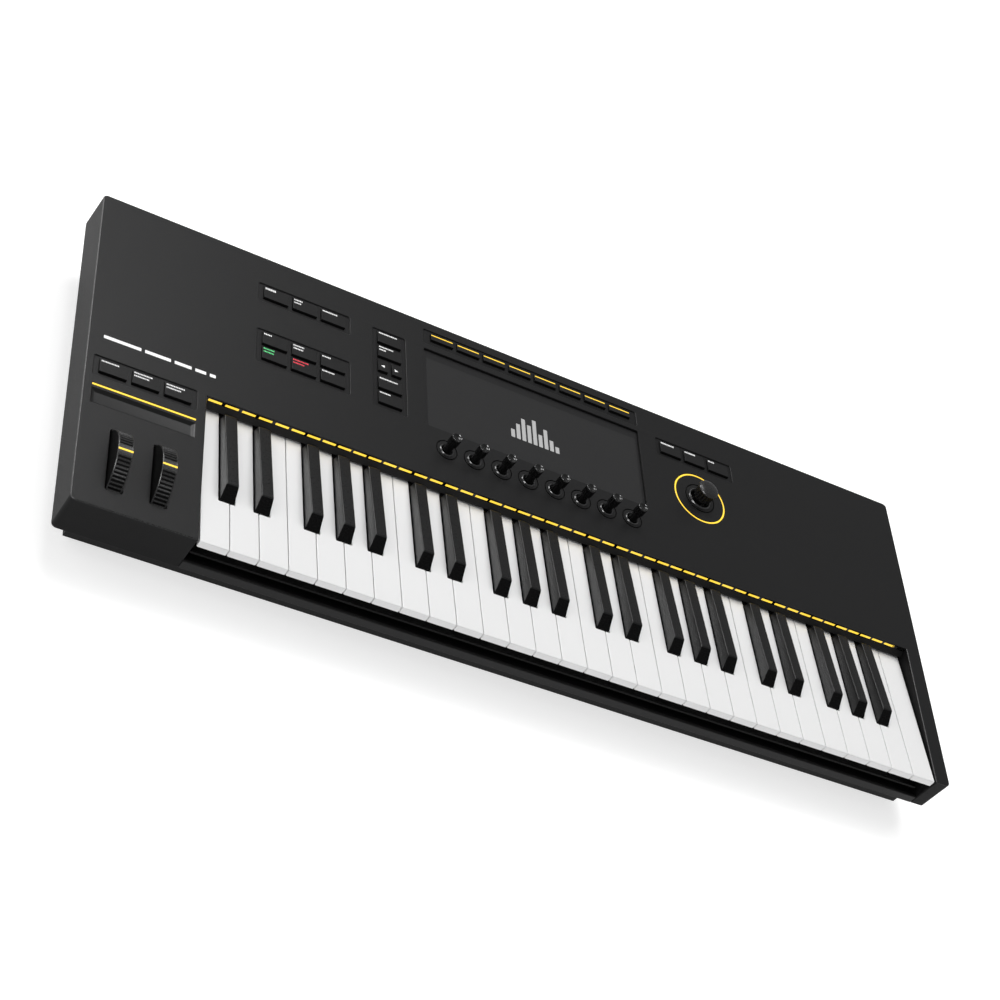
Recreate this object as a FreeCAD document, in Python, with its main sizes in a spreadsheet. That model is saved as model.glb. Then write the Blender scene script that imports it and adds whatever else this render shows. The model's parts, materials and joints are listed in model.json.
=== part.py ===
import FreeCAD
import Part

import math
import os

from Sketcher import Constraint

# A 49-key midi keyboard. Lengths are in millimetres.
#
# Three frames share the X axis, which runs from the left cheek to the right cheek:
#   panel frame  origin at the front left corner of the top panel, +Y up the panel, +Z out of it
#   key frame    origin at the front edge of the first white key's top, +Y along the keys
#   world frame  origin under the middle of the keyboard, on the surface that it stands on

doc = FreeCAD.newDocument("midi_keyboard")
sheet = doc.addObject("Spreadsheet::Sheet", "Sizes")

DRIVING_SIZES = [
    # the case
    ("case_width", 795.8),
    ("case_depth", 316.8),
    ("skirt_front", 34.9),
    ("skirt_back", 37.6),
    ("back_lean", 5.1),
    ("corner_radius", 4.0),
    ("panel_thick", 3.0),
    ("wall_thick", 2.5),
    ("panel_tilt", 3.4),
    ("front_height", 53.0),
    ("foot_height", 5.0),
    ("foot_radius", 9.0),
    ("pan_inset", 15.6),
    ("pan_setback", 12.0),
    # the keys
    ("key_pitch", 23.5),
    ("white_keys", 29.0),
    ("key_gap", 0.9),
    ("key_left", 97.9),
    ("key_top_drop", 0.58),
    ("key_tilt", 4.53),
    ("key_thick", 6.0),
    ("key_length", 193.0),
    ("key_pivot", 187.0),
    ("black_start", 47.0),
    ("black_notch", 13.5),
    ("black_width", 11.8),
    ("black_top_width", 9.8),
    ("black_height", 10.4),
    ("black_end", 134.5),
    ("black_end_height", 7.0),
    ("rod_radius", 1.5),
    ("opening_left", 96.87),
    ("opening_right", 780.53),
    ("opening_back", 140.9),
    ("edge_lip", 1.2),
    # the buttons and their wells
    ("well_depth", 0.8),
    ("well_width", 82.4),
    ("well_height", 20.2),
    ("button_pitch", 25.85),
    ("button_width", 22.2),
    ("button_depth", 14.2),
    ("button_row", 16.2),
    ("slim_depth", 9.4),
    ("small_width", 9.4),
    ("cap_gap", 0.2),
    ("cap_front_gap", 1.2),
    ("cap_bottom", 5.0),
    ("cap_raise", 1.4),
    ("left_group", 47.8),
    ("edit_group", 177.5),
    ("column_group", 255.6),
    ("display_group", 397.4),
    ("nav_group", 565.8),
    ("upper_row", 269.3),
    ("left_row", 125.9),
    ("transport_row", 217.3),
    ("arrow_row", 236.8),
    ("slim_row", 296.0),
    ("column_well_row", 196.9),
    ("column_well_width", 30.8),
    ("column_well_height", 88.5),
    ("slim_well_row", 291.0),
    ("slim_well_height", 16.4),
    # the display
    ("display_width", 217.0),
    ("display_height", 87.5),
    ("display_front", 197.2),
    ("display_drop", 2.0),
    ("glass_thick", 1.5),
    # the knobs
    ("knob_row", 176.5),
    ("knob_dish", 10.0),
    ("collar_radius", 6.5),
    ("collar_bore", 4.9),
    ("knob_stem", 4.3),
    ("knob_radius", 4.75),
    ("knob_skirt", 7.9),
    ("knob_top", 17.2),
    ("nav_row", 230.6),
    ("nav_dish", 15.4),
    ("nav_collar", 11.6),
    ("nav_bore", 9.5),
    ("nav_stem", 6.2),
    ("nav_radius", 9.4),
    ("nav_cap", 9.9),
    ("nav_skirt", 5.5),
    ("nav_top", 16.0),
    ("nav_pivot", 7.4),
    ("ring_radius", 26.0),
    ("ring_width", 1.9),
    # the wheels and the touch strip
    ("wheel_radius", 30.7),
    ("wheel_width", 11.8),
    ("wheel_y", 46.5),
    ("wheel_drop", 13.2),
    ("pitch_wheel", 30.9),
    ("mod_wheel", 64.7),
    ("slot_width", 13.4),
    ("slot_length", 57.0),
    ("axle_radius", 3.0),
    ("strip_centre", 48.1),
    ("strip_width", 82.2),
    ("strip_depth", 14.6),
    ("strip_row", 94.9),
    ("line_row", 112.1),
    ("line_depth", 2.2),
    # the boards and the sockets
    ("board_thick", 1.6),
    ("board_drop", 8.9),
    ("socket_drop", 20.5),
    ("jack_radius", 3.25),
    ("din_radius", 7.2),
]

# Semitone names in one octave. Each black key is given by its centre from the octave's left edge.
WHITE_NAMES = ["c", "d", "e", "f", "g", "a", "b"]
BLACK_CENTRES = {"c_sharp": 21.15, "d_sharp": 49.35, "f_sharp": 90.64, "g_sharp": 117.5, "a_sharp": 144.36}
OCTAVES = 4


class Size:
    """A length that knows its value and the spreadsheet formula that gives it."""

    def __init__(self, value, formula):
        self.value = value
        self.formula = formula

    def __add__(self, other):
        other = size(other)
        return Size(self.value + other.value, f"({self.formula} + {other.formula})")

    def __sub__(self, other):
        other = size(other)
        return Size(self.value - other.value, f"({self.formula} - {other.formula})")

    def __mul__(self, other):
        other = size(other)
        return Size(self.value * other.value, f"({self.formula} * {other.formula})")

    def __truediv__(self, other):
        other = size(other)
        return Size(self.value / other.value, f"({self.formula} / {other.formula})")

    def __neg__(self):
        return Size(-self.value, f"(0 - {self.formula})")

    def __radd__(self, other):
        return size(other) + self

    def __rsub__(self, other):
        return size(other) - self

    def __rmul__(self, other):
        return size(other) * self


def size(value):
    """A plain number as a Size; a Size stays as it is."""
    if isinstance(value, Size):
        return value
    return Size(float(value), f"{float(value):.4f}" if value >= 0 else f"(0 - {-float(value):.4f})")


def sine(angle):
    return Size(math.sin(math.radians(angle.value)), f"sin({angle.formula} * 1deg)")


def cosine(angle):
    return Size(math.cos(math.radians(angle.value)), f"cos({angle.formula} * 1deg)")


def fill_sheet():
    """Write the driving sizes to the sheet and return them by name."""
    sizes = {}
    for row, (alias, value) in enumerate(DRIVING_SIZES, start=1):
        sheet.set(f"A{row}", alias)
        sheet.set(f"B{row}", str(value))
        sheet.setAlias(f"B{row}", alias)
        sizes[alias] = Size(value, f"Sizes.{alias}")
    doc.recompute()
    return sizes


S = fill_sheet()
nodes = {}

PANEL_TILT = S["panel_tilt"]
KEY_CLEAR = S["key_gap"] / 2
OCTAVE = S["key_pitch"] * 7
BOARD_TOP = -S["board_drop"]

# Where the panel frame stands in the world frame.
PANEL_ORIGIN = FreeCAD.Vector(
    -S["case_width"].value / 2,
    -((S["case_depth"] + S["back_lean"]) * cosine(PANEL_TILT) + S["skirt_back"] * sine(PANEL_TILT)).value / 2,
    (S["front_height"] + S["foot_height"]).value,
)
X_AXIS = FreeCAD.Vector(1, 0, 0)
PANEL = FreeCAD.Placement(PANEL_ORIGIN, FreeCAD.Rotation(X_AXIS, PANEL_TILT.value))
KEYS = PANEL.multiply(
    FreeCAD.Placement(
        FreeCAD.Vector(S["key_left"].value, 0, -S["key_top_drop"].value),
        FreeCAD.Rotation(X_AXIS, -S["key_tilt"].value),
    )
)


# ---------------------------------------------------------------- sketches and features

def new_body(label):
    body = doc.addObject("PartDesign::Body", label)
    body.Label = label
    return body


def sketch_on(body, role, name, offset=0):
    """A sketch on one of the body's origin planes, moved along the plane's normal by offset."""
    sketch = body.newObject("Sketcher::SketchObject", name)
    plane = next(item for item in body.Origin.OriginFeatures if item.Role == role)
    sketch.AttachmentSupport = [(plane, "")]
    sketch.MapMode = "FlatFace"
    offset = size(offset)
    sketch.AttachmentOffset = FreeCAD.Placement(FreeCAD.Vector(0, 0, offset.value), FreeCAD.Rotation())
    sketch.setExpression("AttachmentOffset.Base.z", offset.formula)
    return sketch


def bind(sketch, kind, geometry, *where):
    """Add one dimension to the sketch and bind it to its formula."""
    *points, length = where
    index = sketch.addConstraint(Constraint(kind, *geometry, *points, length.value))
    sketch.setExpression(f"Constraints[{index}]", length.formula)


def outline(sketch, corners):
    """A closed polygon through the corners."""
    corners = [(size(x), size(y)) for x, y in corners]
    first = sketch.GeometryCount
    count = len(corners)
    for number in range(count):
        start = corners[number]
        end = corners[(number + 1) % count]
        sketch.addGeometry(
            Part.LineSegment(
                FreeCAD.Vector(start[0].value, start[1].value, 0),
                FreeCAD.Vector(end[0].value, end[1].value, 0),
            )
        )
    for number in range(count):
        line = first + number
        sketch.addConstraint(Constraint("Coincident", line, 2, first + (number + 1) % count, 1))
        bind(sketch, "DistanceX", (-1, 1, line, 1), corners[number][0])
        bind(sketch, "DistanceY", (-1, 1, line, 1), corners[number][1])


def rectangle(sketch, x, y, width, depth):
    x = size(x)
    y = size(y)
    outline(sketch, [(x, y), (x + width, y), (x + width, y + depth), (x, y + depth)])


def circle(sketch, x, y, radius):
    x = size(x)
    y = size(y)
    radius = size(radius)
    centre = FreeCAD.Vector(x.value, y.value, 0)
    number = sketch.addGeometry(Part.Circle(centre, FreeCAD.Vector(0, 0, 1), radius.value))
    bind(sketch, "DistanceX", (-1, 1, number, 3), x)
    bind(sketch, "DistanceY", (-1, 1, number, 3), y)
    bind(sketch, "Radius", (number,), radius)


def pad(body, sketch, length, backwards=False):
    feature = body.newObject("PartDesign::Pad", f"{sketch.Name}_pad")
    feature.Profile = sketch
    feature.Reversed = backwards
    length = size(length)
    feature.Length = length.value
    feature.setExpression("Length", length.formula)
    body.Tip = feature
    return feature


def pocket(body, sketch, length=None, backwards=False):
    """Cut the sketch's outlines: right through, or to the given depth."""
    feature = body.newObject("PartDesign::Pocket", f"{sketch.Name}_pocket")
    feature.Profile = sketch
    feature.Reversed = backwards
    if length is None:
        feature.Type = "ThroughAll"
    else:
        length = size(length)
        feature.Length = length.value
        feature.setExpression("Length", length.formula)
    body.Tip = feature
    return feature


def revolve(body, sketch):
    """Turn the sketch once about its own vertical axis."""
    feature = body.newObject("PartDesign::Revolution", f"{sketch.Name}_turned")
    feature.Profile = sketch
    feature.ReferenceAxis = (sketch, ["V_Axis"])
    feature.Angle = 360
    body.Tip = feature
    return feature


def fillet(body, base, radius, wanted):
    """Round the base feature's edges that wanted(edge) picks."""
    doc.recompute()
    names = [f"Edge{number}" for number, edge in enumerate(base.Shape.Edges, start=1) if wanted(edge)]
    feature = body.newObject("PartDesign::Fillet", f"{base.Name}_rounded")
    feature.Base = (base, names)
    feature.Radius = radius.value
    feature.setExpression("Radius", radius.formula)
    body.Tip = feature
    return feature


# ---------------------------------------------------------------- primitives

def place(item, x, y, z):
    for axis, value in (("x", x), ("y", y), ("z", z)):
        item.setExpression(f"Placement.Base.{axis}", size(value).formula)


def box(label, x, y, z, length, width, height):
    item = doc.addObject("Part::Box", label)
    item.setExpression("Length", size(length).formula)
    item.setExpression("Width", size(width).formula)
    item.setExpression("Height", size(height).formula)
    place(item, x, y, z)
    return item


def cylinder(label, x, y, z, radius, height, along="z"):
    """A cylinder from the given point, along +X, +Y or +Z."""
    turns = {
        "x": FreeCAD.Rotation(FreeCAD.Vector(0, 1, 0), 90),
        "y": FreeCAD.Rotation(FreeCAD.Vector(1, 0, 0), -90),
        "z": FreeCAD.Rotation(),
    }
    item = doc.addObject("Part::Cylinder", label)
    item.setExpression("Radius", size(radius).formula)
    item.setExpression("Height", size(height).formula)
    item.Placement = FreeCAD.Placement(FreeCAD.Vector(), turns[along])
    place(item, x, y, z)
    return item


def fuse(label, items):
    item = doc.addObject("Part::MultiFuse", label)
    item.Shapes = items
    return item


def cut(label, base, tools):
    """The base less its tools."""
    item = doc.addObject("Part::Cut", label)
    item.Base = base
    item.Tool = tools[0] if len(tools) == 1 else fuse(f"{label}_tools", tools)
    return item


def group(label, items):
    item = doc.addObject("Part::Compound", label)
    item.Links = items
    return item


def copy_at(master, label, x=0, y=0, z=0):
    """Another copy of a master piece, moved in its own frame."""
    link = doc.addObject("App::Link", label)
    link.LinkedObject = master
    moved = FreeCAD.Vector(size(x).value, size(y).value, size(z).value)
    link.LinkPlacement = FreeCAD.Placement(moved, FreeCAD.Rotation())
    return link


def node(label, item, placement):
    """Name a finished sub-part and stand it in the world frame."""
    if item.isDerivedFrom("Part::Primitive"):
        item.Label = f"{label}_blank"
        item = group(f"{label}_piece", [item])
    item.Label = label
    item.Placement = placement.multiply(item.Placement)
    nodes[label] = item


# ---------------------------------------------------------------- where the controls are

def button_cells():
    """Each button opening: node name, master cap, left edge and front edge in the panel frame."""
    cells = []
    wide = S["button_width"]

    def row(names, centre, front):
        for number, name in enumerate(names):
            left = centre + S["button_pitch"] * (number - 1) - wide / 2
            cells.append((name, "wide_cap", left, front))

    row([f"octave_button_{n}" for n in (1, 2, 3)], S["left_group"], S["left_row"])
    row([f"edit_button_{n}" for n in (1, 2, 3)], S["edit_group"], S["upper_row"])
    row([f"nav_button_{n}" for n in (1, 2, 3)], S["nav_group"], S["upper_row"])
    row(["transport_upper_buttons"] * 3, S["edit_group"], S["transport_row"])
    row(["transport_lower_buttons"] * 3, S["edit_group"], S["transport_row"] - S["button_row"])
    column = S["column_group"] - wide / 2
    cells.append(("column_upper_buttons", "wide_cap", column, S["upper_row"]))
    cells.append(("column_upper_buttons", "wide_cap", column, S["upper_row"] - S["button_row"]))
    cells.append(("column_arrow_buttons", "small_cap", column, S["arrow_row"]))
    cells.append(("column_arrow_buttons", "small_cap", column + wide - S["small_width"], S["arrow_row"]))
    cells.append(("column_lower_buttons", "wide_cap", column, S["transport_row"]))
    cells.append(("column_lower_buttons", "wide_cap", column, S["transport_row"] - S["button_row"]))
    for number in range(8):
        left = S["display_group"] + S["button_pitch"] * (number - 3.5) - wide / 2
        cells.append(("display_buttons", "slim_cap", left, S["slim_row"]))
    return cells


def cap_size(master):
    """Width and depth of the opening that a master cap fills."""
    if master == "small_cap":
        return S["small_width"], S["button_depth"]
    if master == "slim_cap":
        return S["button_width"], S["slim_depth"]
    return S["button_width"], S["button_depth"]


def knob_centres():
    return [S["display_group"] + S["button_pitch"] * (number - 3.5) for number in range(8)]


def boss_centres():
    """The screw bosses: three along each side and two along the back."""
    centres = [(BOSS_INSET, size(y)) for y in BOSS_ROWS]
    centres += [(S["case_width"] - BOSS_INSET, size(y)) for y in BOSS_ROWS]
    centres += [(S["case_width"] * part, BACK_BOSS_ROW) for part in (0.35, 0.7)]
    return centres


CHEEK_WALL_END = size(160.5)
BOSS_INSET = size(9.0)
BOSS_ROWS = (15.0, 160.0, 300.0)
BACK_BOSS_ROW = size(310.0)
BOSS_RADIUS = size(3.4)
SCREW_RADIUS = size(1.5)
SCREW_LENGTH = size(12.0)
SCREW_HEAD_RADIUS = size(2.8)
SCREW_HEAD_HEIGHT = size(1.8)
FOOT_ROWS = (-112.0, 118.0)
FOOT_INSET = size(28.0)
RAIL_HEIGHT = size(8.3)
RING_GROOVE_DEPTH = size(1.4)
STRIP_TOP = size(-1.3)
STRIP_HEIGHT = size(3.9)
STRIP_THICK = size(3.3)
FASCIA_LOW = size(-10.0)
FASCIA_REACH = size(3.9)
FASCIA_GAP = size(0.1)
JACK_PLACES = [size(128.0), size(153.0)]
JACK_NOSE_RADIUS = size(5.0)
DIN_PLACES = [size(184.0), size(214.0)]
DIN_NOSE_RADIUS = size(8.0)
NOSE_GAP = size(0.3)
USB_PLACE = size(240.0)
USB_WIDTH = size(8.6)
USB_HEIGHT = size(2.8)
USB_NOSE_WIDTH = size(10.0)
USB_NOSE_HEIGHT = size(4.0)


# ---------------------------------------------------------------- the case

def make_top_case():
    body = new_body("top_case")
    width = S["case_width"]
    depth = S["case_depth"]
    wall = S["wall_thick"]
    thick = S["panel_thick"]
    side = sketch_on(body, "YZ_Plane", "case_side")
    outline(side, [(0, 0), (0, -S["skirt_front"]), (depth + S["back_lean"], -S["skirt_back"]), (depth, 0)])
    solid = pad(body, side, width)

    def upright(edge):
        low = edge.BoundBox.ZMin
        high = edge.BoundBox.ZMax
        return high > -0.01 and low < -1 and edge.BoundBox.XLength < 0.01

    fillet(body, solid, S["corner_radius"], upright)

    rear = sketch_on(body, "YZ_Plane", "rear_space", wall)
    rear_floor = -S["skirt_back"] - 1
    rear_lean = S["back_lean"] * rear_floor / S["skirt_back"]
    outline(rear, [(160, -thick), (160, rear_floor), (depth - wall - rear_lean, rear_floor), (depth - wall, -thick)])
    pocket(body, rear, width - wall * 2, backwards=True)

    sides = sketch_on(body, "XY_Plane", "cheek_spaces", -thick)
    inner_left = S["opening_left"] - wall
    inner_right = S["opening_right"] + wall
    rectangle(sides, wall, wall, inner_left - wall, CHEEK_WALL_END - wall)
    rectangle(sides, inner_right, wall, width - wall - inner_right, CHEEK_WALL_END - wall)
    rectangle(sides, S["opening_left"], -5, S["opening_right"] - S["opening_left"], CHEEK_WALL_END + 5.5)
    pocket(body, sides)

    opening = sketch_on(body, "XY_Plane", "key_opening")
    span = S["opening_right"] - S["opening_left"]
    rectangle(opening, S["opening_left"], -5, span, S["opening_back"] + 5)
    pocket(body, opening)

    rebate = sketch_on(body, "XY_Plane", "light_rebate", -thick)
    rectangle(rebate, S["opening_left"], S["opening_back"] - 1, span, 5)
    pocket(body, rebate, thick - S["edge_lip"], backwards=True)

    wells = sketch_on(body, "XY_Plane", "button_wells")
    half = S["well_width"] / 2
    margin = (S["well_height"] - S["button_depth"]) / 2 + 0.6
    for centre, front, height in (
        (S["left_group"], S["left_row"], S["well_height"]),
        (S["edit_group"], S["upper_row"], S["well_height"]),
        (S["nav_group"], S["upper_row"], S["well_height"]),
        (S["edit_group"], S["transport_row"] - S["button_row"], S["well_height"] + S["button_row"]),
    ):
        rectangle(wells, centre - half, front - margin, S["well_width"], height)
    column = S["column_group"] - S["column_well_width"] / 2
    rectangle(wells, column, S["column_well_row"], S["column_well_width"], S["column_well_height"])
    slim = S["display_group"] - S["display_width"] / 2
    rectangle(wells, slim, S["slim_well_row"], S["display_width"], S["slim_well_height"])
    pocket(body, wells, S["well_depth"])

    holes = sketch_on(body, "XY_Plane", "button_holes")
    for _, master, left, front in button_cells():
        rectangle(holes, left, front, *cap_size(master))
    pocket(body, holes)

    windows = sketch_on(body, "XY_Plane", "windows")
    left = S["display_group"] - S["display_width"] / 2
    rectangle(windows, left, S["display_front"], S["display_width"], S["display_height"])
    for y, deep in ((S["strip_row"], S["strip_depth"]), (S["line_row"], S["line_depth"])):
        rectangle(windows, S["strip_centre"] - S["strip_width"] / 2, y, S["strip_width"], deep)
    for centre in (S["pitch_wheel"], S["mod_wheel"]):
        front = S["wheel_y"] - S["slot_length"] / 2
        rectangle(windows, centre - S["slot_width"] / 2, front, S["slot_width"], S["slot_length"])
    pocket(body, windows)

    reliefs = sketch_on(body, "XY_Plane", "wheel_reliefs", -thick)
    for centre in (S["pitch_wheel"], S["mod_wheel"]):
        front = S["wheel_y"] - S["slot_length"] / 2 - 4
        rectangle(reliefs, centre - S["slot_width"] / 2, front, S["slot_width"], S["slot_length"] + 8)
    pocket(body, reliefs, thick - 1, backwards=True)

    dishes = sketch_on(body, "XY_Plane", "knob_dishes")
    for x in knob_centres():
        circle(dishes, x, S["knob_row"], S["knob_dish"])
    circle(dishes, S["nav_group"], S["nav_row"], S["nav_dish"])
    pocket(body, dishes, S["well_depth"])

    bores = sketch_on(body, "XY_Plane", "knob_holes")
    for x in knob_centres():
        circle(bores, x, S["knob_row"], S["collar_radius"] + 0.05)
    circle(bores, S["nav_group"], S["nav_row"], S["nav_collar"] + 0.05)
    pocket(body, bores)

    ring = sketch_on(body, "XY_Plane", "ring_groove")
    for radius in (S["ring_radius"] - S["ring_width"] / 2, S["ring_radius"] + S["ring_width"] / 2):
        circle(ring, S["nav_group"], S["nav_row"], radius)
    pocket(body, ring, RING_GROOVE_DEPTH)

    sockets = sketch_on(body, "XZ_Plane", "socket_holes", -312)
    for x in JACK_PLACES:
        circle(sockets, x, -S["socket_drop"], JACK_NOSE_RADIUS + NOSE_GAP)
    for x in DIN_PLACES:
        circle(sockets, x, -S["socket_drop"], DIN_NOSE_RADIUS + NOSE_GAP)
    usb_width = USB_NOSE_WIDTH + 2
    usb_height = USB_NOSE_HEIGHT + 1.2
    rectangle(sockets, USB_PLACE - usb_width / 2, -S["socket_drop"] - usb_height / 2, usb_width, usb_height)
    pocket(body, sockets)

    bosses = sketch_on(body, "XY_Plane", "screw_bosses", -thick + 0.5)
    for x, y in boss_centres():
        circle(bosses, x, y, BOSS_RADIUS)
    pad(body, bosses, S["skirt_front"] - wall - thick + 0.5, backwards=True)
    pilots = sketch_on(body, "XY_Plane", "screw_pilots", -S["skirt_front"] + wall)
    for x, y in boss_centres():
        circle(pilots, x, y, SCREW_RADIUS + 0.05)
    pocket(body, pilots, SCREW_LENGTH, backwards=True)
    node("top_case", body, PANEL)


def pan_floor(y):
    """Height in the panel frame of the level surface at foot height, at y up the panel."""
    return -(S["front_height"] + size(y) * sine(PANEL_TILT)) / cosine(PANEL_TILT)


def make_bottom_pan():
    body = new_body("bottom_pan")
    wall = S["wall_thick"]
    inset = S["pan_inset"]
    back = S["case_depth"] - 13
    front = S["pan_setback"]
    low = -S["skirt_front"]
    flange = sketch_on(body, "XY_Plane", "pan_flange", low)
    rectangle(flange, wall + 0.2, wall + 0.3, S["case_width"] - wall * 2 - 0.4, S["case_depth"] - 3.2)
    pad(body, flange, wall)
    tray = sketch_on(body, "YZ_Plane", "pan_tray", inset)
    outline(tray, [(front, low), (front, pan_floor(front)), (back, pan_floor(back)), (back, low)])
    pad(body, tray, S["case_width"] - inset * 2)
    inside = sketch_on(body, "YZ_Plane", "pan_inside", inset + wall)
    top = low + wall + 1
    front_in = front + wall
    back_in = back - wall
    floor_front = pan_floor(front_in) + wall
    floor_back = pan_floor(back_in) + wall
    outline(inside, [(front_in, top), (front_in, floor_front), (back_in, floor_back), (back_in, top)])
    pocket(body, inside, S["case_width"] - (inset + wall) * 2, backwards=True)
    holes = sketch_on(body, "XY_Plane", "flange_holes", low + wall)
    for x, y in boss_centres():
        circle(holes, x, y, SCREW_RADIUS + 0.2)
    for edge in (S["opening_left"] - wall, S["opening_right"]):
        rectangle(holes, edge - 0.2, 0, wall + 0.4, CHEEK_WALL_END + 0.3)
    pocket(body, holes, wall)
    node("bottom_pan", body, PANEL)


def make_feet_and_screws():
    feet = []
    level = FreeCAD.Placement()
    middle = S["case_width"] / 2
    for number, (x, y) in enumerate([(-1, -1), (0, -1), (1, -1), (-1, 1), (0, 1), (1, 1)]):
        across = (middle - S["pan_inset"] - FOOT_INSET) * x
        along = size(FOOT_ROWS[0] if y < 0 else FOOT_ROWS[1])
        feet.append(cylinder(f"foot_{number}", across, along, 0, S["foot_radius"], S["foot_height"]))
    node("rubber_feet", group("rubber_feet", feet), level)

    screws = []
    low = -S["skirt_front"]
    for number, (x, y) in enumerate(boss_centres()):
        head = cylinder(f"screw_head_{number}", x, y, low - SCREW_HEAD_HEIGHT, SCREW_HEAD_RADIUS, SCREW_HEAD_HEIGHT)
        shank = cylinder(f"screw_shank_{number}", x, y, low - 0.4, SCREW_RADIUS, SCREW_LENGTH)
        screws.append(fuse(f"screw_{number}", [head, shank]))
    node("case_screws", group("case_screws", screws), PANEL)


def make_front_rail():
    left = S["opening_left"] + 0.1
    span = S["opening_right"] - S["opening_left"] - 0.2
    rail = box("front_rail", left, 0, -S["skirt_front"], span, S["wall_thick"], RAIL_HEIGHT)
    node("front_rail", rail, PANEL)


def make_key_lights():
    left = S["opening_left"] + 0.1
    span = S["opening_right"] - S["opening_left"] - 0.2
    face = S["opening_back"] + 0.3
    strip_low = STRIP_TOP - STRIP_HEIGHT
    strip = box("key_light_strip", left, face, strip_low, span, STRIP_THICK, STRIP_HEIGHT)
    node("key_light_strip", strip, PANEL)
    body = new_body("key_fascia")
    side = sketch_on(body, "YZ_Plane", "fascia_side", left)
    front = S["opening_back"]
    back = face + STRIP_THICK
    top = strip_low - FASCIA_GAP
    outline(side, [(front, top), (front - FASCIA_REACH, FASCIA_LOW), (back, FASCIA_LOW), (back, top)])
    pad(body, side, span)
    node("key_fascia", body, PANEL)


# ---------------------------------------------------------------- the keys and the keybed

def rod_hole(body, name):
    """Bore a key across its back end for the pivot rod."""
    sketch = sketch_on(body, "YZ_Plane", name, -2)
    circle(sketch, S["key_pivot"], -S["key_thick"] / 2, S["rod_radius"] + 0.08)
    pocket(body, sketch, S["key_pitch"] + 4, backwards=True)


def black_notches(name):
    """How far the black keys on its left and on its right cut into a white key."""
    number = WHITE_NAMES.index(name)
    left_edge = S["key_pitch"] * number
    right_edge = S["key_pitch"] * (number + 1)
    left = size(0)
    right = size(0)
    for centre in BLACK_CENTRES.values():
        if abs(centre - left_edge.value) < 7:
            left = size(centre) + S["black_notch"] / 2 - left_edge
        if abs(centre - right_edge.value) < 7:
            right = right_edge - (size(centre) - S["black_notch"] / 2)
    return left, right


def make_white_master(name, left, right):
    """One white key: wide in front of the black keys, narrow between them."""
    body = new_body(f"{name}_key_master")
    plan = sketch_on(body, "XY_Plane", f"{name}_key_plan", -S["key_thick"])
    near = KEY_CLEAR
    far = S["key_pitch"] - KEY_CLEAR
    start = S["black_start"]
    end = S["key_length"]
    corners = [(near, 0), (far, 0)]
    if right.value > 0:
        inner = S["key_pitch"] - right
        corners += [(far, start), (inner, start), (inner, end)]
    else:
        corners += [(far, end)]
    if left.value > 0:
        corners += [(left, end), (left, start), (near, start)]
    else:
        corners += [(near, end)]
    outline(plan, corners)
    pad(body, plan, S["key_thick"])
    rod_hole(body, f"{name}_key_bore")
    return body


def make_black_master():
    """One black key: a long cap with sloping sides and front on a flat tail."""
    body = new_body("black_key_master")
    half = S["black_width"] / 2
    thick = S["key_thick"]
    start = S["black_start"] + 1
    plan = sketch_on(body, "XY_Plane", "black_key_plan", -thick)
    rectangle(plan, -half, start, S["black_width"], S["key_length"] - start)
    pad(body, plan, thick)
    side = sketch_on(body, "YZ_Plane", "black_key_side", -half)
    end = S["black_end"]
    height = S["black_height"]
    outline(side, [(start, -1), (start, 1), (start + 8.5, height), (end, S["black_end_height"]), (end, -1)])
    pad(body, side, S["black_width"])
    slopes = sketch_on(body, "XZ_Plane", "black_key_slopes", -start + 5)
    top = S["black_top_width"] / 2
    for turn in (1, -1):
        outline(slopes, [(half * turn, 1), (top * turn, height + 1), ((half + 2) * turn, height + 1), ((half + 2) * turn, 1)])
    pocket(body, slopes, S["black_end"] - start + 12)
    bore = sketch_on(body, "YZ_Plane", "black_key_bore", -half - 2)
    circle(bore, S["key_pivot"], -thick / 2, S["rod_radius"] + 0.08)
    pocket(body, bore, S["black_width"] + 4, backwards=True)
    return body


def make_keys():
    """The keys, one node for each note name, with that note's key in every octave."""
    top_key = make_white_master("top", size(0), size(0))
    for number, name in enumerate(WHITE_NAMES):
        master = make_white_master(name, *black_notches(name))
        left = S["key_pitch"] * number
        keys = [copy_at(master, f"{name}_key_{octave}", left + OCTAVE * octave) for octave in range(OCTAVES)]
        if name == "c":
            keys.append(copy_at(top_key, "c_key_top", OCTAVE * OCTAVES))
        node(f"{name}_keys", group(f"{name}_keys", keys), KEYS)
    master = make_black_master()
    for name, centre in BLACK_CENTRES.items():
        keys = [copy_at(master, f"{name}_key_{octave}", OCTAVE * octave + centre) for octave in range(OCTAVES)]
        node(f"{name}_keys", group(f"{name}_keys", keys), KEYS)


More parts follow.
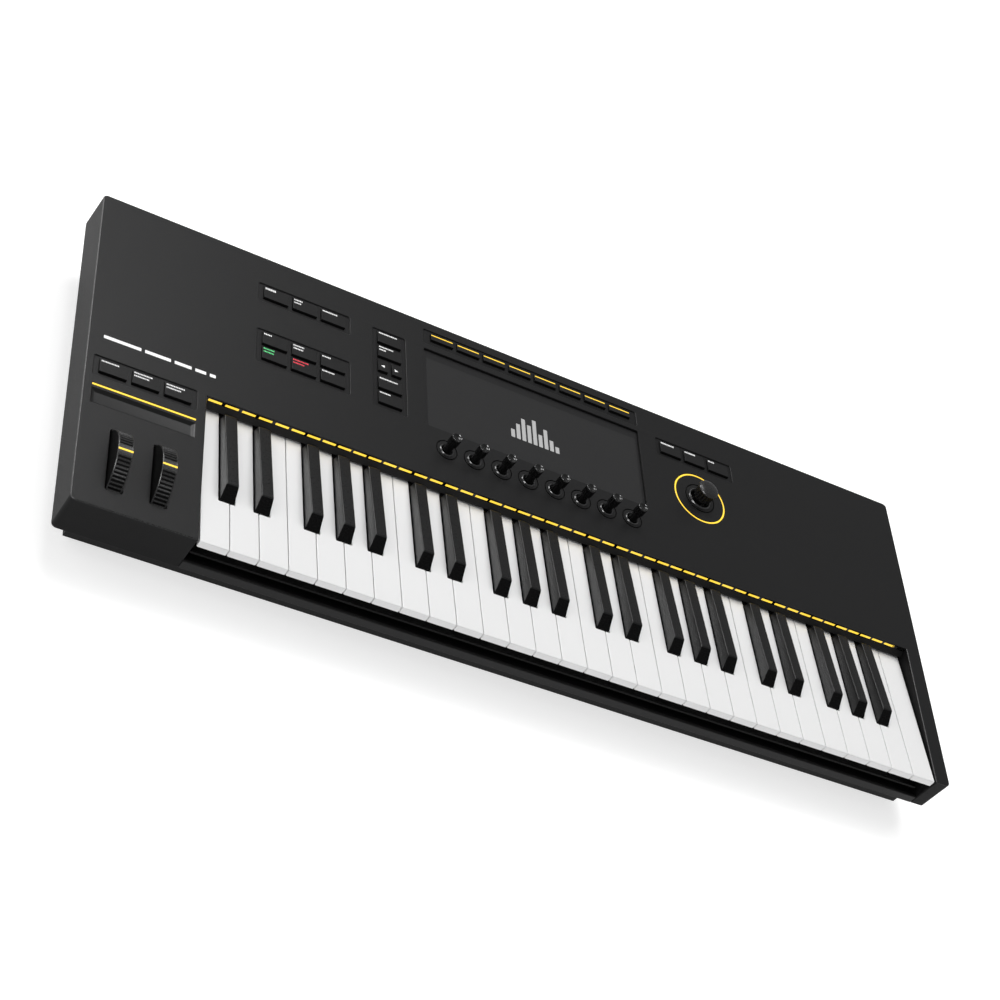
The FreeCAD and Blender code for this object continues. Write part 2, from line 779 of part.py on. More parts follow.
def make_keybed():
    """The frame under the keys, their pivot rod and the board that their contacts are on."""
    span = S["key_pitch"] * S["white_keys"]
    low = size(-22.0)
    thick = size(2.0)
    left = size(-2.9)
    inset = size(2.2)
    shelf = size(-10.0)
    post = size(4.0)
    ear_thick = size(2.5)
    deep = size(14.0)
    pivot_z = -S["key_thick"] / 2
    floor = box("keybed_floor", inset, 8, low, span - inset * 2, 192, thick)
    walls = []
    y = S["key_pivot"] - deep / 2
    for number, (foot, ear) in enumerate(((inset, left), (span - inset - post, span + 0.4))):
        arm = left if number == 0 else foot
        walls.append(box(f"keybed_post_{number}", foot, y, low, post, deep, shelf - low + thick))
        walls.append(box(f"keybed_arm_{number}", arm, y, shelf, inset + post - left, deep, thick))
        walls.append(box(f"keybed_ear_{number}", ear, y, shelf, ear_thick, deep, 12))
    bore = cylinder("keybed_bore", left - 2, S["key_pivot"], pivot_z, S["rod_radius"] + 0.02, span + 10, "x")
    node("keybed_frame", cut("keybed_frame", fuse("keybed_solid", [floor] + walls), [bore]), KEYS)

    rod = cylinder("key_pivot_rod", left + 0.1, S["key_pivot"], pivot_z, S["rod_radius"], span + 5.6, "x")
    node("key_pivot_rod", rod, KEYS)

    board_front = size(100.0)
    board_depth = size(24.0)
    parts = [box("contact_board", 0, board_front, low + thick, span, board_depth, S["board_thick"])]
    keys = 49
    contact_pitch = span / keys
    contact_row = board_front + board_depth / 2
    for number in range(keys):
        x = contact_pitch * (number + 0.5)
        parts.append(cylinder(f"contact_{number}", x, contact_row, low + thick + 1, 3, 4.6))
    node("key_contact_board", fuse("key_contact_board", parts), KEYS)


# ---------------------------------------------------------------- the buttons and the display

def make_cap_master(name):
    """A button cap whose top rises from the panel towards its front edge."""
    width, depth = cap_size(name)
    gap = S["cap_gap"]
    body = new_body(name)
    side = sketch_on(body, "YZ_Plane", f"{name}_side", gap)
    front = S["cap_front_gap"]
    low = -S["cap_bottom"]
    outline(side, [(front, low), (front, S["cap_raise"]), (depth - gap, 0), (depth - gap, low)])
    pad(body, side, width - gap * 2)
    return body


def make_buttons():
    masters = {name: make_cap_master(name) for name in ("wide_cap", "small_cap", "slim_cap")}
    groups = {}
    for number, (name, master, left, front) in enumerate(button_cells()):
        cap = copy_at(masters[master], f"cap_{number}", left, front)
        groups.setdefault(name, []).append(cap)
    for name, caps in groups.items():
        node(name, group(name, caps), PANEL)


def make_display():
    left = S["display_group"] - S["display_width"] / 2
    gap = 0.2
    glass = box(
        "display_glass", left + gap, S["display_front"] + gap, -S["display_drop"] - S["glass_thick"],
        S["display_width"] - gap * 2, S["display_height"] - gap * 2, S["glass_thick"],
    )
    node("display_glass", glass, PANEL)
    module = box(
        "display_module", left + 1.5, S["display_front"] + 1.5, -8.5,
        S["display_width"] - 3, S["display_height"] - 3, 8.5 - S["display_drop"] - S["glass_thick"],
    )
    node("display_module", module, PANEL)


def make_control_board():
    """The boards under the panel, with a switch under each button and an encoder under each knob."""
    low = BOARD_TOP - S["board_thick"]
    sunk = BOARD_TOP - 0.5
    switch = size(6.0)
    encoder = size(10.0)
    parts = [
        box("panel_board", 134, 160, low, 479, 146, S["board_thick"]),
        box("cheek_board", 6, 90, low, 84, 55, S["board_thick"]),
    ]
    holes = [cylinder("board_hole", S["nav_group"], S["nav_row"], low - 1, 13, 4)]
    boards = cut("boards", fuse("board_blanks", parts), holes)
    fitted = [boards]
    for number, (_, master, left, front) in enumerate(button_cells()):
        width, depth = cap_size(master)
        x = left + (width - switch) / 2
        y = front + (depth - switch) / 2
        fitted.append(box(f"switch_{number}", x, y, sunk, switch, switch, 3.1))
    for number, centre in enumerate(knob_centres()):
        x = centre - encoder / 2
        y = S["knob_row"] - encoder / 2
        fitted.append(box(f"encoder_{number}", x, y, sunk, encoder, encoder, 4.0))
    for number, turn in enumerate((-1, 1)):
        x = S["nav_group"] + 13.5 * turn - 1.75
        post = box(f"post_{number}", x, S["nav_row"] - 3, sunk, 3.5, 6, 4.4)
        bore = cylinder(f"post_bore_{number}", x - 1, S["nav_row"], -S["nav_pivot"], 1.06, 6, "x")
        fitted.append(cut(f"post_bored_{number}", post, [bore]))
    node("control_board", fuse("control_board", fitted), PANEL)


# ---------------------------------------------------------------- the knobs

def make_knobs():
    top = S["knob_top"]
    body = new_body("knob_master")
    half = sketch_on(body, "XZ_Plane", "knob_half")
    outline(half, [
        (0, -4.6), (S["knob_stem"], -4.6), (S["knob_stem"], S["knob_skirt"]), (S["knob_radius"], S["knob_skirt"]),
        (S["knob_radius"], top - 0.8), (S["knob_radius"] - 0.8, top), (0, top),
    ])
    revolve(body, half)
    for number, x in enumerate(knob_centres(), start=1):
        knob = copy_at(body, f"knob_copy_{number}", x, S["knob_row"])
        node(f"knob_{number}", group(f"knob_{number}", [knob]), PANEL)


def ring(label, x, y, z, outer, inner, height):
    solid = cylinder(f"{label}_outer", x, y, z, outer, height)
    hole = cylinder(f"{label}_inner", x, y, size(z) - 1, inner, size(height) + 2)
    return cut(label, solid, [hole])


def make_collars_and_lenses():
    low = -S["panel_thick"]
    height = S["panel_thick"] + 0.3
    collars = []
    for number, x in enumerate(knob_centres()):
        collars.append(ring(f"collar_{number}", x, S["knob_row"], low, S["collar_radius"], S["collar_bore"], height))
    nav = ring("nav_collar_ring", S["nav_group"], S["nav_row"], low, S["nav_collar"], S["nav_bore"], height)
    node("knob_collars", group("knob_collars", collars + [nav]), PANEL)

    half = S["ring_width"] / 2 - 0.05
    halo = ring("halo", S["nav_group"], S["nav_row"], -1.4, S["ring_radius"] + half, S["ring_radius"] - half, 1.35)
    left = S["strip_centre"] - S["strip_width"] / 2 + 0.1
    line = box("line_lens", left, S["line_row"] + 0.1, -4, S["strip_width"] - 0.2, S["line_depth"] - 0.2, 3.95)
    node("indicator_lenses", group("indicator_lenses", [halo, line]), PANEL)
    strip = box(
        "touch_strip", left, S["strip_row"] + 0.1, -5, S["strip_width"] - 0.2, S["strip_depth"] - 0.2, 3.2,
    )
    node("touch_strip", strip, PANEL)


def make_nav_encoder():
    """The large encoder: it turns, presses in, and tilts both ways on two nested rings."""
    x = S["nav_group"]
    y = S["nav_row"]
    middle = -S["nav_pivot"]
    ring_height = size(3.0)
    pin_radius = size(1.0)
    low = middle - ring_height / 2
    gimbal = ring("gimbal_ring", x, y, low, 10.0, 7.5, ring_height)
    pins = [cylinder("gimbal_pin_0", x - 14.5, y, middle, pin_radius, 5.5, "x")]
    pins.append(cylinder("gimbal_pin_1", x + 9, y, middle, pin_radius, 5.5, "x"))
    bores = cylinder("gimbal_bores", x, y - 12, middle, pin_radius + 0.06, 24, "y")
    node("encoder_gimbal", cut("encoder_gimbal", fuse("gimbal_solid", [gimbal] + pins), [bores]), PANEL)

    cradle = ring("cradle_ring", x, y, low, 7.0, 4.6, ring_height)
    pins = [cylinder("cradle_pin_0", x, y - 9.6, middle, pin_radius, 3.4, "y")]
    pins.append(cylinder("cradle_pin_1", x, y + 6.2, middle, pin_radius, 3.4, "y"))
    node("encoder_cradle", fuse("encoder_cradle", [cradle] + pins), PANEL)

    shaft = cylinder("encoder_shaft", x, y, -15, 4.52, 23)
    node("encoder_shaft", shaft, PANEL)

    body = new_body("encoder_knob_master")
    half = sketch_on(body, "XZ_Plane", "encoder_half")
    top = S["nav_top"]
    bore = 4.6
    outline(half, [
        (bore, 0.5), (S["nav_stem"], 0.5), (S["nav_stem"], S["nav_skirt"]), (S["nav_radius"], S["nav_skirt"]),
        (S["nav_radius"], top - 2.8), (S["nav_cap"], top - 2.8), (S["nav_cap"], top - 1.2),
        (S["nav_cap"] - 1.2, top), (0, top), (0, 8.3), (bore, 8.3),
    ])
    revolve(body, half)
    node("encoder_knob", group("encoder_knob", [copy_at(body, "encoder_knob_copy", x, y)]), PANEL)


# ---------------------------------------------------------------- the wheels

def make_wheels():
    y = S["wheel_y"]
    z = -S["wheel_drop"]
    half = S["wheel_width"] / 2
    for label, centre in (("pitch_bend_wheel", S["pitch_wheel"]), ("modulation_wheel", S["mod_wheel"])):
        rim = cylinder(f"{label}_rim", centre - half, y, z, S["wheel_radius"], S["wheel_width"], "x")
        axle = cylinder(f"{label}_axle", centre - half - 5.6, y, z, S["axle_radius"], S["wheel_width"] + 11.2, "x")
        node(label, fuse(label, [rim, axle]), PANEL)

    low = size(-23.0)
    high = S["panel_thick"] + low
    rear = S["wheel_y"] + S["wheel_radius"] + 1.3
    first = S["pitch_wheel"] - half - 6.1
    last = S["mod_wheel"] + half + 2.1
    parts = [box("bracket_back", first, rear, low, last + 4 - first, 3, -high)]
    middle = (S["pitch_wheel"] + S["mod_wheel"]) / 2
    for number, (x, wide) in enumerate(((first, 4), (middle - 8, 16), (last, 4))):
        parts.append(box(f"bracket_cheek_{number}", x, y - 6, low, wide, rear - y + 9, -high))
    bore = cylinder("bracket_bore", first - 2, y, z, S["axle_radius"] + 0.08, last - first + 10, "x")
    node("wheel_bracket", cut("wheel_bracket", fuse("bracket_solid", parts), [bore]), PANEL)


# ---------------------------------------------------------------- the sockets and the main board

def make_sockets():
    drop = -S["socket_drop"]
    floor = drop - 8.2
    back = S["case_depth"] - S["wall_thick"]
    nose_end = S["case_depth"] + 2.2
    solids = []
    for number, x in enumerate(JACK_PLACES):
        block = box(f"jack_block_{number}", x - 8, back - 24, floor, 16, 24, 15)
        nose = cylinder(f"jack_nose_{number}", x, back - 1, drop, JACK_NOSE_RADIUS, nose_end - back + 1, "y")
        bore = cylinder(f"jack_bore_{number}", x, back - 20, drop, S["jack_radius"], 30, "y")
        solids.append(cut(f"jack_{number}", fuse(f"jack_solid_{number}", [block, nose]), [bore]))
    for number, x in enumerate(DIN_PLACES):
        block = box(f"din_block_{number}", x - 10, back - 16, floor, 20, 16, 16.4)
        nose = cylinder(f"din_nose_{number}", x, back - 1, drop, DIN_NOSE_RADIUS, nose_end - back + 1, "y")
        bore = cylinder(f"din_bore_{number}", x, back - 6, drop, S["din_radius"], 20, "y")
        solids.append(cut(f"din_{number}", fuse(f"din_solid_{number}", [block, nose]), [bore]))
    x = USB_PLACE
    block = box("usb_block", x - 5, back - 8, floor, 10, 8, 10)
    nose_low = drop - USB_NOSE_HEIGHT / 2
    nose = box("usb_nose", x - 5, back - 1, nose_low, USB_NOSE_WIDTH, nose_end - back + 1, USB_NOSE_HEIGHT)
    slot = box("usb_slot", x - USB_WIDTH / 2, back - 6, drop - USB_HEIGHT / 2, USB_WIDTH, 20, USB_HEIGHT)
    solids.append(cut("usb", fuse("usb_solid", [block, nose]), [slot]))
    node("rear_sockets", group("rear_sockets", solids), PANEL)
    board = box("main_board", 110, 236, floor - S["board_thick"], 150, back - 237, S["board_thick"])
    node("main_board", board, PANEL)


# ---------------------------------------------------------------- build, check and write

def check(item):
    """Stop on a feature that failed or on a shape that is missing or broken."""
    if "Invalid" in item.State or "Error" in item.State:
        raise RuntimeError(f"{item.Label} failed: {item.State}")


def main():
    make_top_case()
    make_bottom_pan()
    make_feet_and_screws()
    make_front_rail()
    make_key_lights()
    make_keys()
    make_keybed()
    make_buttons()
    make_display()
    make_control_board()
    make_knobs()
    make_collars_and_lenses()
    make_nav_encoder()
    make_wheels()
    make_sockets()
    doc.recompute()
    for item in doc.Objects:
        check(item)
    os.makedirs("parts", exist_ok=True)
    for label, item in nodes.items():
        shape = item.Shape
        if shape.isNull() or not shape.isValid() or not shape.Solids:
            raise RuntimeError(f"{label} has no valid solid")
        shape.exportStep(f"parts/{label}.step")
        volume = sum(solid.Volume for solid in shape.Solids) / 1000
        print(f"{label}: {len(shape.Solids)} solids, {volume:.1f} cubic centimetres")
    print(f"{len(nodes)} nodes")


main()
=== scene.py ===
import json
import math
import random

import bmesh
import bpy
from mathutils import Matrix, Vector
from mathutils.geometry import tessellate_polygon


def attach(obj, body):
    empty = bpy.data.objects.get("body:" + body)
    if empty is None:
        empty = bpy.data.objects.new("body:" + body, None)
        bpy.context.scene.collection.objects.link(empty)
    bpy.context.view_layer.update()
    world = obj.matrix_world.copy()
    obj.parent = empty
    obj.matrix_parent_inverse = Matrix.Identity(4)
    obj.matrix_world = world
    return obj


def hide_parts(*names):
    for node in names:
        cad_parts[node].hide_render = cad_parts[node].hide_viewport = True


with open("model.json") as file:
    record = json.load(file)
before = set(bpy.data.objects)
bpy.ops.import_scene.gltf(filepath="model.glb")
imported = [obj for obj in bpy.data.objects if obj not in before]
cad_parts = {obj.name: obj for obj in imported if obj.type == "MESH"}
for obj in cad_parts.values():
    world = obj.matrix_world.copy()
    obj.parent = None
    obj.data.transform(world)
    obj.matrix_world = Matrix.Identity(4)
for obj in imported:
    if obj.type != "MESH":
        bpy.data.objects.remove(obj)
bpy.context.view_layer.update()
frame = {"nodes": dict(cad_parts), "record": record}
DRAW = random.Random(49)

# A 49-key midi keyboard. Sizes are in millimetres in the panel frame: origin at the front left
# corner of the top panel, +X to the right, +Y up the panel, +Z out of it.
CASE_WIDTH = 795.8
CASE_DEPTH = 316.8
SKIRT_FRONT = 34.9
SKIRT_BACK = 37.6
BACK_LEAN = 5.1
PANEL_TILT = math.radians(3.4)
PANEL_HEIGHT = 58.0
PANEL_THICK = 3.0
WALL = 2.5
CORNER = 4.0
CHEEK_CORNER = 1.2
EDGE_ROUND = 0.7

KEY_PITCH = 23.5
KEY_LEFT = 97.9
KEY_DROP = 0.58
KEY_TILT = math.radians(4.53)
KEY_THICK = 6.0
KEY_LENGTH = 193.0
KEY_CLEAR = 0.34
OCTAVES = 4
OCTAVE = KEY_PITCH * 7
BLACK_START = 47.0
BLACK_FRONT = 48.0
BLACK_NOTCH = 13.5
BLACK_HALF = 5.9
BLACK_TOP_HALF = 4.9
BLACK_HEIGHT = 10.4
BLACK_END = 134.5
BLACK_END_HEIGHT = 7.0
BLACK_SLOPE = ((0.0, 0.5), (0.25, 1.0), (8.0, 9.75), (8.3, 10.05), (8.7, 10.28), (9.3, BLACK_HEIGHT))
OPENING_LEFT = 96.87
OPENING_RIGHT = 780.53
OPENING_BACK = 140.9
EDGE_LIP = 1.2
REBATE = 5.0
CHEEK_WALL_END = 160.5
BAR_CLEAR = 0.1
RAIL_HEIGHT = 8.3
LIGHT_BAR_LOW = -5.2
LIGHT_BAR_TOP = -1.3
LIGHT_BAR_SETBACK = 0.3
LIGHT_BAR_DEPTH = 3.3
WINDOW_ROW = -3.2
LIT_WIDTH = 11.2
DARK_PLACE = 675.3
DARK_WIDTH = 13.0
FASCIA_REACH = 3.9
FASCIA_LOW = -10.0
FASCIA_TOP = -5.3

WELL_DEPTH = 1.0
WELL_RIM = 0.7
WELL_WIDTH = 82.4
WELL_HEIGHT = 20.2
WELL_MARGIN = 3.6
COLUMN_WELL_WIDTH = 30.8
COLUMN_WELL_FRONT = 196.9
COLUMN_WELL_HEIGHT = 88.5
SLIM_WELL_FRONT = 291.0
SLIM_WELL_HEIGHT = 16.4
BUTTON_PITCH = 25.85
BUTTON_WIDTH = 22.2
BUTTON_DEPTH = 14.2
BUTTON_ROW = 16.2
SLIM_DEPTH = 9.4
SMALL_WIDTH = 9.4
CAP_GAP = 0.2
CAP_FRONT_GAP = 0.7
CAP_BOTTOM = 5.0
CAP_RAISE = 1.1
LEFT_GROUP = 47.8
EDIT_GROUP = 177.5
COLUMN_GROUP = 255.6
DISPLAY_GROUP = 397.4
NAV_GROUP = 565.8
LEFT_ROW = 125.9
UPPER_ROW = 269.3
TRANSPORT_ROW = 217.3
ARROW_ROW = 236.8
SLIM_ROW = 296.0
SLIM_LINE_FRONT = 302.2
SLIM_LINE_WIDTH = 20.9
SLIM_LINE_DEPTH = 1.15
LABEL_INSET = 1.4
PRINT_RISE = 0.05
PRINT_SINK = 0.1

DISPLAY_WIDTH = 217.0
DISPLAY_HEIGHT = 87.5
DISPLAY_FRONT = 197.2
DISPLAY_DROP = 2.0
GLASS_THICK = 1.5
SCREEN_SIDE = 3.0
SCREEN_FRONT = 1.6
SCREEN_HEIGHT = 77.0
LEVEL_HEIGHTS = (9.0, 17.0, 25.0, 20.0, 28.0, 14.0, 22.0, 12.0, 7.0)
LEVEL_FRONT = 222.0
LEVEL_CENTRE = DISPLAY_GROUP - 1.2
LEVEL_PITCH = 5.5
LEVEL_WIDTH = 3.8

GRIP_POINTS = (6, 7)
KNOB_ROW = 176.5
KNOB_GROOVE = 10.0
GROOVE_WIDTH = 1.0
GROOVE_DEPTH = 1.1
COLLAR_RADIUS = 6.5
COLLAR_BORE = 4.9
KNOB_STEM = 4.3
KNOB_NECK = 3.6
KNOB_RADIUS = 4.75
KNOB_SKIRT = 7.9
KNOB_TOP = 17.2
NAV_ROW = 230.6
NAV_GROOVE = 15.4
NAV_COLLAR = 11.6
NAV_BORE = 9.5
NAV_STEM = 6.2
NAV_RADIUS = 9.4
NAV_CAP = 9.9
NAV_SKIRT = 3.6
NAV_TOP = 16.0
RING_RADIUS = 26.0
RING_WIDTH = 1.9
RING_LIT = 1.25
RING_DEPTH = 1.4

WHEEL_RADIUS = 30.7
WHEEL_HALF = 5.9
WHEEL_Y = 46.5
WHEEL_DROP = 13.2
WHEELS = {"pitch_bend_wheel": 30.9, "modulation_wheel": 64.7}
SLOT_WIDTH = 13.4
SLOT_LENGTH = 57.0
AXLE_RADIUS = 3.0
AXLE_HALF = 11.5
INDEX_HALF = 1.35
STRIP_CENTRE = 48.1
STRIP_WIDTH = 82.2
STRIP_DEPTH = 14.6
STRIP_ROW = 94.9
LENS_CLEAR = 0.1
LINE_ROW = 112.1
LINE_DEPTH = 2.2
LINE_LIT = 1.3
LAMP_HEIGHT = 2.2

STRIPE_LEFT = 12.0
STRIPE_ROW = 161.8
STRIPE_HEIGHT = 3.2
STRIPE_GAP = 3.0
STRIPE_BLOCKS = (30.0, 21.0, 14.0, 9.0, 5.0)

SOCKET_WALL_LEFT = 100.0
SOCKET_WALL_RIGHT = 260.0
SOCKET_DROP = 20.5
JACK_PLACES = (128.0, 153.0)
JACK_HOLE = 5.3
DIN_PLACES = (184.0, 214.0)
DIN_HOLE = 8.3
DIN_PIN_CIRCLE = 4.2
USB_PLACE = 240.0
USB_WIDTH = 12.0
USB_HEIGHT = 5.2
FOOT_INSET = 43.6
FOOT_ROWS = (-112.0, 118.0)

WHITE_NAMES = ("c", "d", "e", "f", "g", "a", "b")
BLACK_CENTRES = {"c_sharp": 21.15, "d_sharp": 49.35, "f_sharp": 90.64, "g_sharp": 117.5, "a_sharp": 144.36}

PANEL_Y = -((CASE_DEPTH + BACK_LEAN) * math.cos(PANEL_TILT) + SKIRT_BACK * math.sin(PANEL_TILT)) / 2
MM = 0.001
PANEL = (
    Matrix.Translation((-CASE_WIDTH / 2 * MM, PANEL_Y * MM, PANEL_HEIGHT * MM))
    @ Matrix.Rotation(PANEL_TILT, 4, "X")
    @ Matrix.Scale(MM, 4)
)
KEYS = PANEL @ Matrix.Translation((KEY_LEFT, 0, -KEY_DROP)) @ Matrix.Rotation(-KEY_TILT, 4, "X")
LEVEL = Matrix.Translation((-CASE_WIDTH / 2 * MM, 0, 0)) @ Matrix.Scale(MM, 4)


# ---- materials

def grey(tone, blue=0.0):
    return tone, tone, tone + blue


def fill_in(node, **values):
    """Sets a node's inputs; a name has _ for each space."""
    for socket, value in values.items():
        node.inputs[socket.replace("_", " ")].default_value = value
    return node


def surface(name, colour, roughness, grain=1500.0, bump=0.12, vary=0.10, rough_vary=0.06, patch=25.0,
            metallic=0.0, coat=0.0, coat_rough=0.1, specular=0.5, glow=None, glow_strength=0.0, stretch=(1, 1, 1)):
    """A moulded or painted surface: broad tone changes, fine grain in its height and in its gloss."""
    made = bpy.data.materials.new(name)
    made.use_nodes = True
    nodes = made.node_tree.nodes
    links = made.node_tree.links
    shader = nodes["Principled BSDF"]

    def drift(colour, spread, target):
        """Gives a shader socket a colour with darker and lighter patches."""
        mix = nodes.new("ShaderNodeMix")
        mix.data_type = "RGBA"
        fill_in(mix, A=(*[c * (1 - spread) for c in colour], 1), B=(*[min(1.0, c * (1 + spread)) for c in colour], 1))
        links.new(broad.outputs["Fac"], mix.inputs["Factor"])
        links.new(mix.outputs["Result"], shader.inputs[target])

    fill_in(shader, Metallic=metallic, Coat_Weight=coat, Coat_Roughness=coat_rough, Specular_IOR_Level=specular)
    where = nodes.new("ShaderNodeTexCoord")
    mapping = fill_in(nodes.new("ShaderNodeMapping"), Scale=stretch)
    links.new(where.outputs["Object"], mapping.inputs["Vector"])
    fine = fill_in(nodes.new("ShaderNodeTexNoise"), Scale=grain, Detail=4)
    broad = fill_in(nodes.new("ShaderNodeTexNoise"), Scale=patch, Detail=3)
    for noise in (fine, broad):
        links.new(mapping.outputs["Vector"], noise.inputs["Vector"])
    drift(colour, vary, "Base Color")
    gloss = fill_in(nodes.new("ShaderNodeMapRange"), From_Min=0.3, From_Max=0.7,
                    To_Min=max(0.02, roughness - rough_vary), To_Max=min(1.0, roughness + rough_vary))
    links.new(fine.outputs["Fac"], gloss.inputs["Value"])
    links.new(gloss.outputs["Result"], shader.inputs["Roughness"])
    if bump:
        relief = fill_in(nodes.new("ShaderNodeBump"), Strength=bump, Distance=0.0003)
        links.new(fine.outputs["Fac"], relief.inputs["Height"])
        links.new(relief.outputs["Normal"], shader.inputs["Normal"])
    if glow:
        drift(glow, 0.1, "Emission Color")
        fill_in(shader, Emission_Strength=glow_strength)
    return made


HOUSING = {"grain": 1600, "vary": 0.05, "patch": 14}
CASE = surface("case_plastic", grey(0.0095, 0.0003), 0.44, bump=0.16, specular=0.22, **HOUSING)
SIDE = surface("case_side", grey(0.0090, 0.0003), 0.50, bump=0.16, specular=0.07, **HOUSING)
EDGE = surface("case_edge", grey(0.0100, 0.0003), 0.28, bump=0.05, specular=0.45, **HOUSING)
CAP = surface("cap_plastic", grey(0.0085, 0.0003), 0.42, grain=1900, bump=0.10, vary=0.05, patch=40, specular=0.22)
# SHADE is a near-black painted shade: it darkens the caps' front faces and the walls and floors of the round grooves.
SHADE = surface("cap_front", grey(0.0035), 0.60, bump=0.05, specular=0.15)
WELL = surface("well_plastic", grey(0.0080, 0.0003), 0.46, bump=0.14, specular=0.2, **HOUSING)
PAN = surface("pan_plastic", grey(0.0065, 0.0003), 0.62, grain=900, bump=0.25, vary=0.12, specular=0.2)
RAIL = surface("rail_plastic", grey(0.0070, 0.0002), 0.50, grain=1400, bump=0.15, vary=0.08, specular=0.2)
FASCIA = surface("fascia_plastic", grey(0.016, 0.0003), 0.48, grain=1400, bump=0.12, vary=0.08, specular=0.25)
IVORY = surface("white_key_plastic", grey(0.80), 0.32, grain=700, bump=0.02, vary=0.012, rough_vary=0.03,
                coat=0.3, coat_rough=0.2)
EBONY = surface("black_key_plastic", grey(0.0045, 0.0002), 0.30, grain=1300, bump=0.03, rough_vary=0.04,
                specular=0.36)
# A darker copy of the black key plastic for the keys' front slopes: painted shade.
EBONY_PAINTED_SHADE = surface("black_key_front", grey(0.0015, 0.0001), 0.26, grain=1300, bump=0.03, rough_vary=0.04,
                      specular=0.16)
RUBBER = surface("foot_rubber", grey(0.018), 0.80, grain=1100, bump=0.35, vary=0.15)
KNOB = surface("knob_plastic", grey(0.0030, 0.0001), 0.20, bump=0.03, rough_vary=0.03)
GRIP = surface("encoder_grip", grey(0.012, 0.0003), 0.30, bump=0.03, rough_vary=0.03)
# A lighter, metallic band on the knobs' top rims and the encoder cap's edge: a painted highlight on glossy black
# plastic.
KNOB_RIM_PAINTED_HIGHLIGHT = surface("knob_rim", grey(0.055, 0.001), 0.22, bump=0.02, metallic=0.6, vary=0.05, rough_vary=0.03)
KNOB_CROWN = surface("knob_crown", grey(0.014, 0.0003), 0.30, grain=1200, bump=0.04, metallic=0.1, vary=0.05)
COLLAR = surface("collar_gloss", grey(0.045, 0.001), 0.20, grain=900, bump=0.02, vary=0.08, rough_vary=0.03)
RUBBERY = {"grain": 1300, "bump": 0.06, "vary": 0.08}
WHEEL = surface("wheel_rubber", grey(0.022, 0.0003), 0.28, specular=0.5, **RUBBERY)
# A near-black copy of the wheel rubber for the flanks and the rib valleys: painted shade.
WHEEL_PAINTED_SHADE = surface("wheel_side", grey(0.0015), 0.50, specular=0.08, **RUBBERY)
STRIP = surface("touch_surface", grey(0.0095, 0.0003), 0.36, grain=1700, bump=0.05, vary=0.04, specular=0.30)
GLASS = surface("display_glass", grey(0.0125, 0.0005), 0.34, grain=400, bump=0, vary=0.04, rough_vary=0.02,
                specular=0.25)
SCREEN = surface("display_screen", grey(0.020, 0.0005), 0.34, grain=3000, bump=0, vary=0.04, rough_vary=0.02,
                 specular=0.25)
LEVELS = surface("display_levels", grey(0.30), 0.40, grain=2500, bump=0, vary=0.05, glow=grey(0.30),
                 glow_strength=0.5)
LAMP = surface("yellow_lamp", (0.35, 0.22, 0.01), 0.35, grain=600, bump=0, glow=(1.0, 0.64, 0.06), glow_strength=1.2)
LAMP_OFF = surface("dark_lamp", grey(0.006), 0.25, grain=600, bump=0)
INK = {"grain": 2200, "bump": 0.02}
# The colour of the print is its own. Its glow is painted light that makes the ink brighter than the lamps alone
# would.
WHITE_PRINT_PAINTED_GLOW = surface("white_print", grey(0.75), 0.55, vary=0.03, glow=grey(0.9), glow_strength=0.25, **INK)
GREEN_PRINT_PAINTED_GLOW = surface("green_print", (0.08, 0.45, 0.16), 0.55, vary=0.05, glow=(0.10, 0.75, 0.25),
                      glow_strength=0.45, **INK)
RED_PRINT_PAINTED_GLOW = surface("red_print", (0.55, 0.03, 0.05), 0.55, vary=0.05, glow=(0.85, 0.05, 0.08),
                    glow_strength=0.45, **INK)
STEEL = surface("bright_steel", grey(0.55, 0.01), 0.32, grain=500, bump=0.05, metallic=1.0, vary=0.05,
                stretch=(0.05, 1, 1))
ZINC = surface("pressed_zinc", (0.50, 0.51, 0.52), 0.42, grain=260, bump=0.08, metallic=1.0, vary=0.18)
DARK_STEEL = surface("black_steel", grey(0.0025), 0.35, grain=900, bump=0.10, vary=0.15, specular=0.15)
BOARD = surface("circuit_board", (0.012, 0.085, 0.035), 0.42, grain=700, bump=0.10, vary=0.20, patch=160)
DARK_PART = surface("board_parts", grey(0.015), 0.45, grain=1200, bump=0.12, vary=0.12)
SOCKET = surface("socket_plastic", grey(0.008), 0.40, grain=1300, bump=0.08, vary=0.12)
BLACK_ZINC = surface("blackened_zinc", grey(0.012), 0.38, grain=700, bump=0.06, metallic=0.5, vary=0.12)
NICKEL = surface("nickel", (0.62, 0.60, 0.56), 0.25, grain=600, bump=0.03, metallic=1.0, vary=0.05)

SLOT_LOOKS = {
    "case": CASE, "pan": PAN, "foot_rubber": RUBBER, "screw_steel": STEEL, "rail": RAIL, "light_strip": LAMP_OFF,
    "fascia": FASCIA, "keybed_steel": DARK_STEEL, "rod_steel": STEEL, "contact_board": BOARD, "display_glass": GLASS,
    "display_module": DARK_PART, "circuit_board": BOARD, "socket_plastic": SOCKET, "collar": COLLAR, "lens": LAMP,
    "touch_surface": STRIP, "bracket": ZINC, "wheel": WHEEL, "encoder_metal": BLACK_ZINC, "knob": KNOB,
    "white_key": IVORY, "black_key": EBONY, "button": CAP,
}


# ---- outlines

